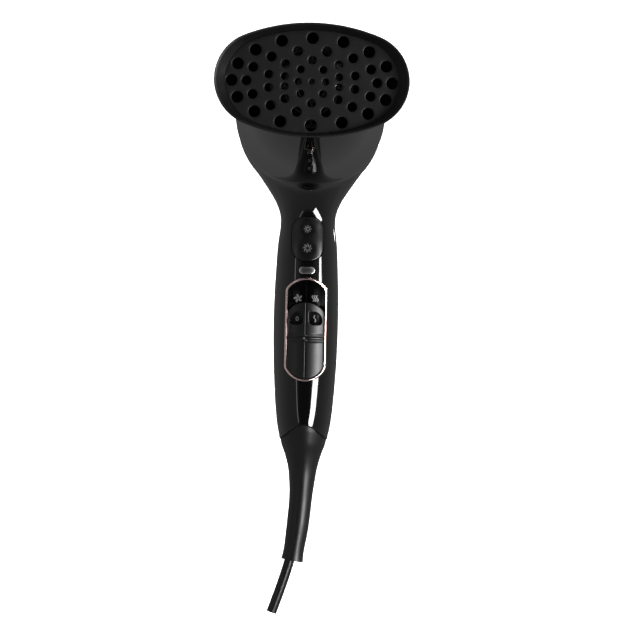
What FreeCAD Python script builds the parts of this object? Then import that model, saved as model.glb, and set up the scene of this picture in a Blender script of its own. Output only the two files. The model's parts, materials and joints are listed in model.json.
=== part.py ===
import FreeCAD, Part
import math
import os
import re

import Sketcher
from FreeCAD import Placement, Rotation, Vector

# Hand-held hair dryer with an oval diffuser on its nozzle.
# X points right, the air leaves towards -Y, Z points up. The origin lies on the barrel's axis,
# where the handle's centre plane crosses it.

DIMENSIONS = {
    # barrel, turned about Y
    "wall": 2.2,
    "barrel_r": 47.7,
    "barrel_back": 70,
    "barrel_back_r": 45.5,
    "straight_back": 30,
    "straight_front": -10,
    "nose": -130,
    "nose_r": 28,
    "nose_arc_r": 375.34,
    "back_arc_r": 364.7,
    "nose_lip": 2.4,
    "flare_fillet": 9,
    # handle and its flare: height, half width and half depth of each section
    "root_z": -18, "root_w": 42.3, "root_d": 46,
    "flare_z": -27.1, "flare_w": 39.2, "flare_d": 40,
    "thigh_z": -36.8, "thigh_w": 33.2, "thigh_d": 33.4,
    "hip_z": -46.5, "hip_w": 26.5, "hip_d": 26.7,
    "shoulder_z": -55, "shoulder_w": 21.2, "shoulder_d": 21.5,
    "neck_z": -65, "neck_w": 17.75, "neck_d": 18.15,
    "end_z": -198, "end_w": 17.1, "end_d": 17.5,
    "tail_z": -212, "tail_w": 14.2, "tail_d": 14.6,
    "seat_y": 6.8,
    # the grip swells to its belly between the neck and the end
    "belly_z": -131.6, "belly_w": 20.8, "belly_bow": 0.00078,
    "grip_deeper": 0.4,
    "grip_top": -80, "grip_low": -185, "grip_steps": 7,
    "arch_z": -207.5,
    "arch_r": 19.3,
    # switch field in the front of the handle
    "field_w": 13.45,
    "field_top": -104.55,
    "field_bottom": -170.4,
    "field_top_r": 16,
    "field_bottom_r": 14.6,
    "field_corner_r": 4.5,
    "ring_bar": 1.5,
    "ring_proud": 0.5,
    "ring_deep": 2.2,
    "panel_r": 17.4,
    "panel_thick": 1.6,
    "carriage_y": -12.3,
    "carriage_back": -11.3,
    "carriage_half": 3.2,
    "case_y": -10.9,
    "case_back": -5.2,
    "case_half": 4.6,
    "cap_r": 20.7,
    "cap_gap": 0.3,
    "cap_travel": 13,
    "cap_clear": 0.15,
    "window_top": -126,
    "window_bottom": -134.3,
    "ridge_z": -143,
    "ridge_tall": 3.6,
    "ridge_proud": 0.9,
    "stem_z": -151,
    "stem_long": 5,
    "stem_wide": 2.4,
    "stem_x": 6.4,
    # boost rocker
    "rocker_w": 10.5,
    "rocker_top": -65.5,
    "rocker_bottom": -94.3,
    "rocker_corner_r": 8.6,
    "rocker_gap": 0.45,
    "rocker_proud": 0.3,
    "rocker_thick": 2.4,
    "dish_r": 13,
    "dish_deep": 0.7,
    "dish_step": 6.3,
    "rocker_pin_r": 1,
    "rocker_pin_y": -12.3,
    "pin_clear": 0.06,
    # badge
    "badge_z": -99.9,
    "badge_w": 5.1,
    "badge_tall": 4.5,
    # nozzle and outlet grille
    "nozzle_r": 24.6,
    "nozzle_front": -145,
    "nozzle_wall": 1.8,
    "grille_back": -138,
    "grille_front": -141,
    # diffuser
    "diffuser_wall": 1.2,
    "diffuser_clear": 0.08,
    "collar_r": 27,
    "collar_back": -130.6,
    "collar_front": -147,
    # oval sections of its funnel: place, half width, half height, radius of the ends
    "throat_y": -150, "throat_w": 29, "throat_h": 27.6, "throat_r": 27.25,
    "waist_y": -155, "waist_w": 38.5, "waist_h": 28.8, "waist_r": 26.4,
    "bowl_y": -160, "bowl_w": 46.2, "bowl_h": 29.9, "bowl_r": 26,
    "plate_y": -165, "plate_w": 50.4, "plate_h": 30.6, "plate_r": 26,
    "rim_y": -172, "rim_w": 55.2, "rim_h": 32.5, "rim_r": 27,
    "plate_thick": 2,
    # inlet end
    "cap_ring_back": 78,
    "cap_ring_r": 41.5,
    "inlet_r": 37.5,
    "frame_r": 43,
    # motor and fan
    "duct_r": 44.2,
    "duct_wall": 1.8,
    "hub_r": 22.2,
    "hub_wall": 1.8,
    "stator_r": 20.3,
    "stator_back": 14,
    "stator_front": -12,
    "yoke": 3.2,
    "pole_r": 12.7,
    "rotor_r": 12.2,
    "shaft_r": 2,
    "bearing_r": 5.5,
    "fan_r": 40.4,
    "fan_hub_r": 15,
    "fan_back": 54,
    "fan_front": 34,
    "fan_blades": 9,
    "stator_vanes": 7,
    # heater
    "mica": 0.8,
    "coil_r": 22,
    "coil_wire_r": 0.8,
    "coil_pitch": 3,
    "coil_gap": 16,
    "coil_high": -84,
    "coil_low": -61,
    "shield_front": -125.4,
    # cord
    "cord_r": 3.3,
    "bend_z": -218,
    "bend_r": 411,
    "boot_angle": 9.4,
    "boot_bore_r": 3.45,
    "boot_mouth_r": 5.6,
}

FLARE_STATIONS = ["root", "flare", "thigh", "hip", "shoulder", "neck"]
END_STATIONS = ["end", "tail"]
AIMS = {"x": Rotation(Vector(0, 1, 0), 90), "y": Rotation(Vector(1, 0, 0), -90), "z": Rotation()}

doc = FreeCAD.newDocument("hair_dryer")
sheet = doc.addObject("Spreadsheet::Sheet", "dims")
nodes = []


# ---- helpers -------------------------------------------------------------------------------------

def fill_sheet():
    for row, (alias, size) in enumerate(DIMENSIONS.items(), 1):
        sheet.set("A%d" % row, alias.replace("_", " "))
        sheet.set("B%d" % row, str(size))
        sheet.setAlias("B%d" % row, alias)
    doc.recompute()


def bound(expression):
    """An expression over the sheet, from one written with bare aliases."""
    def cell(word):
        return "dims." + word.group() if word.group() in DIMENSIONS else word.group()
    return re.sub(r"[a-z]\w*", cell, str(expression))


def number(expression):
    return float(sheet.evalExpression(bound(expression)))


def keep(obj):
    """Marks an object as a sub-part, whose label names its file."""
    nodes.append(obj)
    return obj


def put(obj, base, aim="z"):
    """Binds an object's place to the sheet and turns its Z to the named axis."""
    obj.Placement = Placement(Vector(), AIMS[aim])
    for axis, place in zip("xyz", base):
        if str(place) != "0":
            obj.setExpression("Placement.Base." + axis, bound(place))
    return obj


def rod(name, radius, length, base, aim):
    obj = doc.addObject("Part::Cylinder", name)
    obj.setExpression("Radius", bound(radius))
    obj.setExpression("Height", bound(length))
    return put(obj, base, aim)


def ball(name, radius, centre):
    obj = doc.addObject("Part::Sphere", name)
    obj.setExpression("Radius", bound(radius))
    return put(obj, centre)


def box(name, x, y, z):
    """A block; x, y and z are its (low, high) pairs."""
    obj = doc.addObject("Part::Box", name)
    for side, (low, high) in zip(("Length", "Width", "Height"), (x, y, z)):
        obj.setExpression(side, bound("(%s) - (%s)" % (high, low)))
    return put(obj, [low for low, high in (x, y, z)])


def boolean(kind, name, base, tool):
    obj = doc.addObject("Part::" + kind, name)
    obj.Base = base
    obj.Tool = tool
    obj.Refine = False
    return obj


def fuse(name, *parts):
    if len(parts) == 2:
        return boolean("Fuse", name, *parts)
    obj = doc.addObject("Part::MultiFuse", name)
    obj.Shapes = list(parts)
    obj.Refine = False
    return obj


def cut(name, base, *tools):
    return boolean("Cut", name, base, tools[0] if len(tools) == 1 else fuse(name + "_tools", *tools))


def common(name, base, tool):
    return boolean("Common", name, base, tool)


def group(name, *solids):
    """Separate solids that share one node."""
    obj = doc.addObject("Part::Compound", name)
    obj.Links = list(solids)
    return obj


def arc_between(start, end, radius):
    """An arc between two points that turns left for a positive radius, and right for a negative one."""
    chord = end - start
    rise = math.sqrt(max(radius ** 2 - (chord.Length / 2) ** 2, 0))
    left = Vector(-chord.y, chord.x, 0).normalize()
    centre = (start + end) / 2 + left * math.copysign(rise, radius)
    first, last = (start, end) if radius > 0 else (end, start)
    angles = [math.atan2(point.y - centre.y, point.x - centre.x) for point in (first, last)]
    circle = Part.Circle(centre, Vector(0, 0, 1), abs(radius))
    return Part.ArcOfCircle(circle, angles[0], angles[1])


def draw(body, name, plane, loops, height="0"):
    """A sketch of the loops on an origin plane of a body."""
    sketch = body.newObject("Sketcher::SketchObject", name)
    origin = [item for item in body.Origin.OriginFeatures if item.Role == plane][0]
    sketch.AttachmentSupport = (origin, [""])
    sketch.MapMode = "FlatFace"
    if str(height) != "0":
        sketch.setExpression("AttachmentOffset.Base.z", bound(height))
    trace(sketch, loops)
    return sketch


def trace(sketch, loops):
    """Fills a sketch with loops, whose corners and radii are bound to the sheet.

    A loop is a circle, as a tuple (x, y, radius), or a list of corners (x, y). A corner with a third
    value is reached by an arc of that radius, which turns left when the radius is positive.
    """
    rules = []

    def pin(shape, point, place):
        for kind, axis, expression in (("DistanceX", -2, place[0]), ("DistanceY", -1, place[1])):
            if str(expression) == "0":
                rules.append((Sketcher.Constraint("PointOnObject", shape, point, axis), None))
            else:
                rule = Sketcher.Constraint(kind, shape, point, number(expression))
                rules.append((rule, expression))

    for loop in loops:
        if isinstance(loop, tuple):
            x, y, radius = loop
            centre = Vector(number(x), number(y), 0)
            shape = sketch.addGeometry(Part.Circle(centre, Vector(0, 0, 1), number(radius)))
            pin(shape, 3, (x, y))
            rules.append((Sketcher.Constraint("Radius", shape, number(radius)), radius))
            continue
        spots = [Vector(number(corner[0]), number(corner[1]), 0) for corner in loop]
        ends = []
        for index, corner in enumerate(loop):
            start, end = spots[index - 1], spots[index]
            if len(corner) == 2:
                shape = sketch.addGeometry(Part.LineSegment(start, end))
                ends.append((shape, 1, 2))
            else:
                radius = number(corner[2])
                shape = sketch.addGeometry(arc_between(start, end, radius))
                ends.append((shape, 1, 2) if radius > 0 else (shape, 2, 1))
                size = "abs(%s)" % corner[2]
                rules.append((Sketcher.Constraint("Radius", shape, abs(radius)), size))
            pin(shape, ends[-1][2], corner)
        for (last, _, tail), (following, head, _) in zip(ends, ends[1:] + ends[:1]):
            rules.append((Sketcher.Constraint("Coincident", last, tail, following, head), None))
    sketch.addConstraint([rule for rule, _ in rules])
    for index, (_, expression) in enumerate(rules):
        if expression is not None:
            sketch.setExpression("Constraints[%d]" % index, bound(expression))


def turned(name, *loops):
    """A piece turned about the barrel's axis; corners are (radius, y)."""
    body = doc.addObject("PartDesign::Body", name)
    sketch = draw(body, name + "_profile", "XY_Plane", loops)
    feature = body.newObject("PartDesign::Revolution", name + "_turn")
    feature.Profile = sketch
    feature.ReferenceAxis = (sketch, ["V_Axis"])
    feature.Angle = 360
    return body


def ring(name, outer, inner, back, front):
    return turned(name, [(inner, front), (outer, front), (outer, back), (inner, back)])


def prism(name, plane, loops, start, length):
    """A prism that starts above an origin plane. Above the XZ plane means towards -Y."""
    body = doc.addObject("PartDesign::Body", name)
    sketch = draw(body, name + "_outline", plane, loops, start)
    feature = body.newObject("PartDesign::Pad", name + "_pad")
    feature.Profile = sketch
    feature.setExpression("Length", bound(length))
    return body


def around(name, part, count, first=0):
    """A part repeated evenly about the barrel's axis, the first one turned by an angle."""
    array = []
    for step in range(count):
        copy = doc.addObject("Part::Compound", "%s_at_%d" % (name, step))
        copy.Links = [part]
        copy.Placement = Placement(Vector(), Rotation(Vector(0, 1, 0), first + 360.0 * step / count))
        array.append(copy)
    return array


def rounded_block(half_width, low, high, radius):
    """Corners of a rectangle with rounded corners, about x = 0."""
    w, r = "(%s)" % half_width, "(%s)" % radius
    low, high = "(%s)" % low, "(%s)" % high
    return [
        (w, "%s + %s" % (low, r), r),
        (w, "%s - %s" % (high, r)),
        ("%s - %s" % (w, r), high, r),
        ("%s - %s" % (r, w), high),
        ("-%s" % w, "%s - %s" % (high, r), r),
        ("-%s" % w, "%s + %s" % (low, r)),
        ("%s - %s" % (r, w), low, r),
        ("%s - %s" % (w, r), low),
    ]


# ---- shapes that several pieces share ------------------------------------------------------------

def grip_stations():
    """Height, half width and half depth of the sections from the flare's root to the handle's tail."""
    def named(station):
        return station + "_z", station + "_w", station + "_d"
    stations = [named(station) for station in FLARE_STATIONS]
    for step in range(8):
        height = "(grip_top + %d / grip_steps * (grip_low - grip_top))" % step
        width = "belly_w - belly_bow * (%s - belly_z)^2" % height
        stations.append((height, width, width + " + grip_deeper"))
    return stations + [named(station) for station in END_STATIONS]


def grip_loft(name, inset):
    """The handle with its flare, moved in from the surface by inset."""
    sections = []
    for index, (height, width, depth) in enumerate(grip_stations()):
        section = doc.addObject("Part::Ellipse", "%s_%d" % (name, index))
        section.setExpression("MajorRadius", bound("%s - (%s)" % (depth, inset)))
        section.setExpression("MinorRadius", bound("%s - (%s)" % (width, inset)))
        section.Placement = Placement(Vector(), Rotation(Vector(0, 0, 1), 90))
        section.setExpression("Placement.Base.z", bound(height))
        sections.append(section)
    loft = doc.addObject("Part::Loft", name)
    loft.Sections = sections
    loft.Solid = True
    loft.MaxDegree = 3
    return loft


def grip_skin(name, proud, depth):
    """The layer of the handle from proud above its surface to depth below."""
    outer = grip_loft(name + "_outer", "-(%s)" % proud)
    return cut(name, outer, grip_loft(name + "_core", depth))


def barrel_outer():
    return turned(
        "barrel_outer",
        [
            (0, "nose"),
            ("nose_r", "nose"),
            ("barrel_r", "straight_front", "nose_arc_r"),
            ("barrel_r", "straight_back"),
            ("barrel_back_r", "barrel_back", "back_arc_r"),
            (0, "barrel_back"),
        ],
    )


def barrel_inner():
    """The hollow of the barrel: behind the nose it runs through the inlet end."""
    return turned(
        "barrel_inner",
        [
            (0, "nose + nose_lip"),
            ("nose_r - wall", "nose + nose_lip"),
            ("barrel_r - wall", "straight_front", "nose_arc_r - wall"),
            ("barrel_r - wall", "straight_back"),
            ("barrel_back_r - 1.8", "barrel_back + 1", "back_arc_r - wall"),
            (0, "barrel_back + 1"),
        ],
    )


def field_loop(inset, drop="0"):
    """Outline of the switch field, moved in by inset, with its top lowered by drop.

    Each end is an arc about the handle's centre line that runs into rounded corners.
    """
    w = "(field_w - (%s))" % inset
    c = "(field_corner_r - (%s))" % inset
    half = "(%s - %s)" % (w, c)
    loop = []
    for sign, end, radius in ((-1, "field_bottom", "field_bottom_r"), (1, "field_top", "field_top_r")):
        r = "(%s - (%s))" % (radius, inset)
        shift = drop if sign > 0 else "0"
        middle = "(%s - %d * %s - (%s))" % (end, sign, radius, shift)
        reach = "sqrt((%s - %s)^2 - %s^2)" % (r, c, half)
        share = "(%s / (%s - %s))" % (r, r, c)
        tangent_x = "%s * %s" % (half, share)
        tangent_z = "%s + %d * %s * %s" % (middle, sign, reach, share)
        corner_z = "%s + %d * %s" % (middle, sign, reach)
        if sign < 0:
            loop += [("-(%s)" % tangent_x, tangent_z, c), (tangent_x, tangent_z, r), (w, corner_z, c)]
        else:
            loop += [(w, corner_z), (tangent_x, tangent_z, c), ("-(%s)" % tangent_x, tangent_z, r)]
            loop += [("-%s" % w, corner_z, c)]
    loop.append(("-%s" % w, "%s" % loop[2][1]))
    return loop


def rocker_loop(inset):
    edge = "(%s)" % inset
    return rounded_block("rocker_w - " + edge, "rocker_bottom + " + edge,
                         "rocker_top - " + edge, "rocker_corner_r - " + edge)


def badge_loop(inset):
    edge = "(%s)" % inset
    return rounded_block("badge_w - " + edge, "badge_z - badge_tall / 2 + " + edge,
                         "badge_z + badge_tall / 2 - " + edge, "badge_tall / 2 - 0.01 - " + edge)


def arch_zone(name, gap):
    """Everything above the arched end of the handle."""
    curve = rod(name + "_curve", "arch_r + (%s)" % gap, 120, (-60, 0, "arch_z + arch_r"), "x")
    above = box(name + "_above", (-60, 60), (-60, 60), ("arch_z + arch_r", 0))
    return fuse(name, curve, above)


# ---- housing -------------------------------------------------------------------------------------

SCREW_SPOTS = [(-9.6, -59), (9.6, -59), (-10.4, -184), (10.4, -184)]


def housing():
    """Front and rear shells, joined on the plane y = 0 by four screws from the rear."""
    grip = common("grip_outer", grip_loft("grip_blank", 0), arch_zone("grip_arch", 0))
    outer = fuse("shell_outer", barrel_outer(), grip)
    inner = fuse("shell_inner", barrel_inner(), grip_loft("grip_inner", "wall"))
    doc.recompute()
    blend = doc.addObject("Part::Fillet", "shell_blended")
    blend.Base = outer
    size = number("flare_fillet")
    blend.Edges = [(index, size, size) for index in flare_edges(outer.Shape)]
    hollow = cut("shell_hollow", blend, inner)
    bosses = [rod("boss_%d" % i, 3.3, 60, (x, -30, z), "y") for i, (x, z) in enumerate(SCREW_SPOTS)]
    doc.recompute()
    boss_set = common("bosses", fuse("boss_rods", *bosses), inner)
    shell = fuse("shell_with_bosses", hollow, boss_set)
    openings = [
        rod("nose_opening", "nozzle_r + 0.1", 10, (0, "nose - 4", 0), "y"),
        prism("field_opening", "XZ_Plane", [field_loop("0")], 0, 40),
        prism("rocker_opening", "XZ_Plane", [rocker_loop("0")], 0, 40),
        common("badge_seat", prism("badge_opening", "XZ_Plane", [badge_loop("-0.05")], 0, 40),
               grip_skin("badge_depth", 1, 0.8)),
    ]
    for index, (x, z) in enumerate(SCREW_SPOTS):
        openings.append(rod("pilot_%d" % index, 1.55, 12, (x, -10, z), "y"))
        openings.append(rod("clearance_%d" % index, 1.8, 31, (x, -1, z), "y"))
        openings.append(rod("head_pocket_%d" % index, 3.1, 30, (x, "seat_y", z), "y"))
    pierced = cut("shell_pierced", shell, *openings)
    reach = 130
    front = box("front_half", (-reach, reach), (-reach, 0), (-300, reach))
    rear = box("rear_half", (-reach, reach), (0, reach), (-300, reach))
    keep(cut("housing_front", pierced, rear))
    keep(cut("housing_rear", pierced, front))


def flare_edges(shape):
    """The edges where the flare meets the barrel's underside."""
    found = []
    for index, edge in enumerate(shape.Edges, 1):
        bounds = edge.BoundBox
        if bounds.XLength > 15 and bounds.ZMax < -10 and bounds.ZMin > -60:
            found.append(index)
    return found


def housing_screws():
    """Pan-head screws that draw the rear shell onto the front one."""
    screws = []
    for index, (x, z) in enumerate(SCREW_SPOTS):
        screw = turned("housing_screw_%d" % index, [
            (0, -9), (1.5, -9), (1.5, "seat_y"), (2.9, "seat_y"),
            (2.9, "seat_y + 1.4"), (2.0, "seat_y + 2.2", 2.2), (0, "seat_y + 2.2")])
        put(screw, (x, 0, z))
        depth = ("seat_y + 1.4", "seat_y + 3")
        slot = box("housing_slot_%d" % index, (x - 2, x + 2), depth, (z - 0.4, z + 0.4))
        cross = box("housing_cross_%d" % index, (x - 0.4, x + 0.4), depth, (z - 2, z + 2))
        screws.append(cut("housing_screw_%d_cut" % index, screw, slot, cross))
    keep(group("housing_screws", *screws))


# ---- nozzle and diffuser -------------------------------------------------------------------------

def nozzle():
    keep(turned("nozzle_ring", [
        ("nozzle_r - nozzle_wall", "nozzle_front"),
        ("nozzle_r - 0.6", "nozzle_front"),
        ("nozzle_r", "nozzle_front + 0.6"),
        ("nozzle_r", "nose + nose_lip + 0.1"),
        ("nozzle_r + 1", "nose + nose_lip + 0.1"),
        ("nozzle_r + 1", "nose + nose_lip + 1.9"),
        ("nozzle_r - nozzle_wall", "nose + nose_lip + 1.9"),
    ]))
    rings = [ring("grille_ring_%d" % radius, radius + 0.7, radius - 0.7, "grille_back", "grille_front")
             for radius in (8, 15.5)]
    rim = ring("grille_rim", "nozzle_r - nozzle_wall - 0.05", "nozzle_r - nozzle_wall - 1.4",
               "grille_back", "grille_front")
    reach = "nozzle_r - nozzle_wall - 1"
    bars = [box("grille_bar", ("-(%s)" % reach, reach), ("grille_front", "grille_back"), (-0.6, 0.6)),
            box("grille_post", (-0.8, 0.8), ("grille_front", "grille_back"), ("-(%s)" % reach, reach))]
    hub = rod("grille_hub", 3, "grille_back - grille_front", (0, "grille_front", 0), "y")
    keep(fuse("outlet_grille", rim, hub, *rings, *bars))


def oval_loop(w, h, r):
    """An oval of four arcs: ends of radius r that run into flatter arcs above and below."""
    flat = "(((%s - %s)^2 + %s^2 - %s^2) / (2 * (%s - %s)))" % (w, r, h, r, h, r)
    x = "(%s * (%s - %s) / (%s - %s))" % (flat, w, r, flat, r)
    z = "(%s * (%s - %s) / (%s - %s))" % (r, flat, h, flat, r)
    return [(x, "-" + z, flat), (x, z, r), ("-" + x, z, flat), ("-" + x, "-" + z, r)]


def round_loop(r):
    """A circle split into four arcs at the same places as the ovals."""
    x, z = "(%s * cos(68 deg))" % r, "(%s * sin(68 deg))" % r
    return [(x, "-" + z, r), (x, z, r), ("-" + x, z, r), ("-" + x, "-" + z, r)]


def funnel_loft(name, inset):
    """The diffuser's oval funnel, moved in by inset, from the collar to the rim."""
    def inner(size):
        return "(%s - (%s))" % (size, inset)
    stations = [("collar_front", round_loop(inner("collar_r")))]
    for place, w, h, r in (("throat_y", "throat_w", "throat_h", "throat_r"),
                           ("waist_y", "waist_w", "waist_h", "waist_r"),
                           ("bowl_y", "bowl_w", "bowl_h", "bowl_r"),
                           ("plate_y", "plate_w", "plate_h", "plate_r"),
                           ("rim_y", "rim_w", "rim_h", "rim_r")):
        stations.append((place, oval_loop(inner(w), inner(h), inner(r))))
    sections = []
    for index, (place, loop) in enumerate(stations):
        section = doc.addObject("Sketcher::SketchObject", "%s_%d" % (name, index))
        trace(section, [loop])
        section.Placement = Placement(Vector(), AIMS["y"])
        section.setExpression("Placement.Base.y", bound(place))
        sections.append(section)
    loft = doc.addObject("Part::Loft", name)
    loft.Sections = sections
    loft.Solid = True
    return loft


# rings of holes in the diffuser plate: half width, half height, number, first angle, hole radius
HOLE_RINGS = [
    (0, 0, 1, 0, 1.6),
    (7.8, 7.8, 2, 0, 1.9),
    (16.6, 7.4, 8, 22.5, 2.1),
    (25.6, 12.2, 10, 18, 2.4),
    (36.9, 17.6, 14, 0, 2.75),
    (45.3, 24.7, 16, 0, 3.3),
]


def diffuser():
    collar = ring("diffuser_collar", "collar_r", "nozzle_r + diffuser_clear", "collar_back", "collar_front")
    inside = funnel_loft("funnel_inner", "diffuser_wall")
    blank = fuse("diffuser_blank", funnel_loft("funnel_outer", 0), collar)
    bore = rod("diffuser_bore", "nozzle_r + diffuser_clear", 40, (0, "collar_front - 5", 0), "y")
    keep(cut("diffuser_shell", blank, inside, bore))
    holes = []
    for half_width, half_height, count, first, radius in HOLE_RINGS:
        for step in range(count):
            angle = math.radians(first + 360.0 * step / count)
            holes.append((half_width * math.cos(angle), half_height * math.sin(angle), radius))
    drills = prism("diffuser_drills", "XZ_Plane", [(round(x, 3), round(z, 3), r) for x, z, r in holes],
                   "-plate_y - plate_thick - 3", 10)
    slab = box("plate_slab", (-70, 70), ("plate_y", "plate_y + plate_thick"), (-50, 50))
    oval = common("plate_oval", funnel_loft("plate_loft", "diffuser_wall + 0.02"), slab)
    keep(cut("diffuser_plate", oval, drills))


# ---- inlet end -----------------------------------------------------------------------------------

def inlet():
    """Bayonet frame in the barrel, and the filter cap that twists onto it."""
    frame = ring("inlet_frame_blank", "frame_r + 0.6", "frame_r - 1.6", "barrel_back - 0.2", "barrel_back - 12")
    stop = box("inlet_stop_0", (-1.2, 1.2), ("barrel_back - 9", "barrel_back - 6"), ("frame_r - 3", "frame_r - 1"))
    keep(fuse("inlet_frame", frame, *around("inlet_stop", stop, 3)))
    keep(turned("filter_cap_ring", [
        ("inlet_r", "barrel_back + 0.3"),
        ("barrel_back_r - 0.2", "barrel_back + 0.3"),
        ("barrel_back_r - 0.6", "barrel_back + 3"),
        ("cap_ring_r", "cap_ring_back", 9),
        ("inlet_r", "cap_ring_back"),
    ]))
    skirt = ring("cap_skirt", "inlet_r + 1.8", "inlet_r + 0.2", "barrel_back + 0.3", "barrel_back - 10")
    tab = box("cap_tab_0", (-5, 5), ("barrel_back - 9.5", "barrel_back - 7"), ("inlet_r + 1", "frame_r - 2.2"))
    keep(fuse("filter_cap_skirt", skirt, *around("cap_tab", tab, 3, 14)))
    rings = [ring("inlet_ring_%d" % step, "inlet_r - %s" % (4 * step), "inlet_r - %s" % (4 * step + 1.6),
                  "cap_ring_back - 1.5", "cap_ring_back - 4") for step in range(1, 9)]
    rim = ring("inlet_rim", "inlet_r - 0.05", "inlet_r - 2", "cap_ring_back - 1.5", "barrel_back + 2.6")
    hub = rod("inlet_hub", 6, 2.5, (0, "cap_ring_back - 4", 0), "y")
    spoke = box("inlet_spoke_0", (-0.9, 0.9), ("cap_ring_back - 4", "cap_ring_back - 1.8"), (4, "inlet_r - 1"))
    keep(fuse("inlet_grille", rim, hub, *rings, *around("inlet_spoke", spoke, 8)))
    keep(filter_mesh())


def filter_mesh():
    """Fine mesh disc: a thin ring with crossed strands."""
    back, front = "barrel_back + 2.4", "barrel_back + 1.6"
    rim = ring("mesh_rim", "inlet_r - 0.1", "inlet_r - 2", back, front)
    strands = []
    for step in range(-7, 8):
        place = 4.6 * step
        half = math.sqrt(36.4 ** 2 - place ** 2)
        strands.append(box("mesh_up_%d" % (step + 7), (place - 0.3, place + 0.3), (front, back), (-half, half)))
        strands.append(box("mesh_across_%d" % (step + 7), (-half, half), (front, back), (place - 0.3, place + 0.3)))
    return fuse("filter_mesh", rim, *strands)


# ---- fan and motor -------------------------------------------------------------------------------

def motor_duct():
    """Air duct with straightening vanes that carry the motor's hub."""
    tube = turned("duct_tube", [
        ("duct_r - duct_wall", -22), ("duct_r", -22), ("duct_r", -18), ("duct_r - 0.6", -18),
        ("duct_r - 0.6", 52), ("duct_r", 52), ("duct_r", 57), ("duct_r - duct_wall", 57),
    ])
    hub = ring("duct_hub", "hub_r", "hub_r - hub_wall", 26, -18)
    vane = box("duct_vane_0", (-0.8, 0.8), (-8, 24), ("hub_r - 0.6", "duct_r - 1.4"))
    keep(fuse("motor_duct", tube, hub, *around("duct_vane", vane, int(number("stator_vanes")))))


def stator():
    yoke = ring("yoke_ring", "stator_r", "stator_r - yoke", "stator_back", "stator_front")
    shoe = ring("pole_band", "stator_r - yoke + 0.5", "pole_r", "stator_back", "stator_front")
    reach = box("pole_reach", (-7, 7), ("stator_front", "stator_back"), (-20, 20))
    keep(fuse("stator_core", yoke, common("poles", shoe, reach)))
    coils = []
    for index, (low, high) in enumerate(((10.3, 13.3), (-13.3, -10.3))):
        outside = box("coil_block_%d" % index, (-10.4, 10.4), ("stator_front - 4.5", "stator_back + 4.5"), (low, high))
        inside = box("coil_hole_%d" % index, (-7.2, 7.2), ("stator_front - 0.2", "stator_back + 0.2"), (low - 1, high + 1))
        coils.append(cut("field_coil_%d" % index, outside, inside))
    keep(group("field_coils", *coils))


def brackets():
    """End brackets of the motor, with the bearings in their bosses."""
    rear = ring("rear_boss", "bearing_r + 1.8", "bearing_r + 0.02", 27, 20.5)
    rear_bar = box("rear_bar", (-4, 4), (20.5, 22.5), ("-(hub_r - hub_wall - 0.6)", "hub_r - hub_wall - 0.6"))
    rear_bore = rod("rear_bore", "bearing_r + 0.02", 20, (0, 15, 0), "y")
    keep(fuse("rear_bracket", rear, cut("rear_bar_bored", rear_bar, rear_bore)))
    front = ring("front_boss", "bearing_r + 1.8", "bearing_r + 0.02", -28.5, -35)
    front_plate = ring("front_plate", "hub_r - hub_wall - 0.1", "hub_r - hub_wall - 2.6", -17.5, -35)
    front_bar = box("front_bar", (-4, 4), (-35, -31), ("-(hub_r - hub_wall - 1)", "hub_r - hub_wall - 1"))
    front_bore = rod("front_bore", "bearing_r + 0.02", 20, (0, -45, 0), "y")
    blank = fuse("front_bracket_blank", front, front_plate, cut("front_bar_bored", front_bar, front_bore))
    seats = [box("brush_seat_%d" % index, sorted((14 * side, 18.7 * side)), (-26.45, -25.45), (-3.85, 3.85))
             for index, side in enumerate((-1, 1))]
    keep(cut("front_bracket", blank, *seats))
    keep(ring("rear_bearing", "bearing_r", "shaft_r + 0.03", 26.5, 21))
    keep(ring("front_bearing", "bearing_r", "shaft_r + 0.03", -29, -34.5))


def brushes():
    holders, carbons = [], []
    for index, side in enumerate((-1, 1)):
        near, far, tail = 7.2 * side, 15.6 * side, 18.6 * side
        tip = 6.2 * side
        outer = box("holder_block_%d" % index, sorted((near, far)), (-26.4, -20.6), (-2.9, 2.9))
        bore = box("holder_bore_%d" % index, sorted((near - side, far + side)), (-25.5, -21.5), (-2, 2))
        foot = box("holder_foot_%d" % index, sorted((far - side, tail)), (-26.4, -25.5), (-3.8, 3.8))
        holders.append(fuse("brush_holder_%d" % index, cut("holder_tube_%d" % index, outer, bore), foot))
        carbons.append(box("carbon_%d" % index, sorted((tip, far - 2 * side)), (-25.4, -21.6), (-1.9, 1.9)))
    keep(group("brush_holders", *holders))
    keep(group("carbon_brushes", *carbons))


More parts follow.
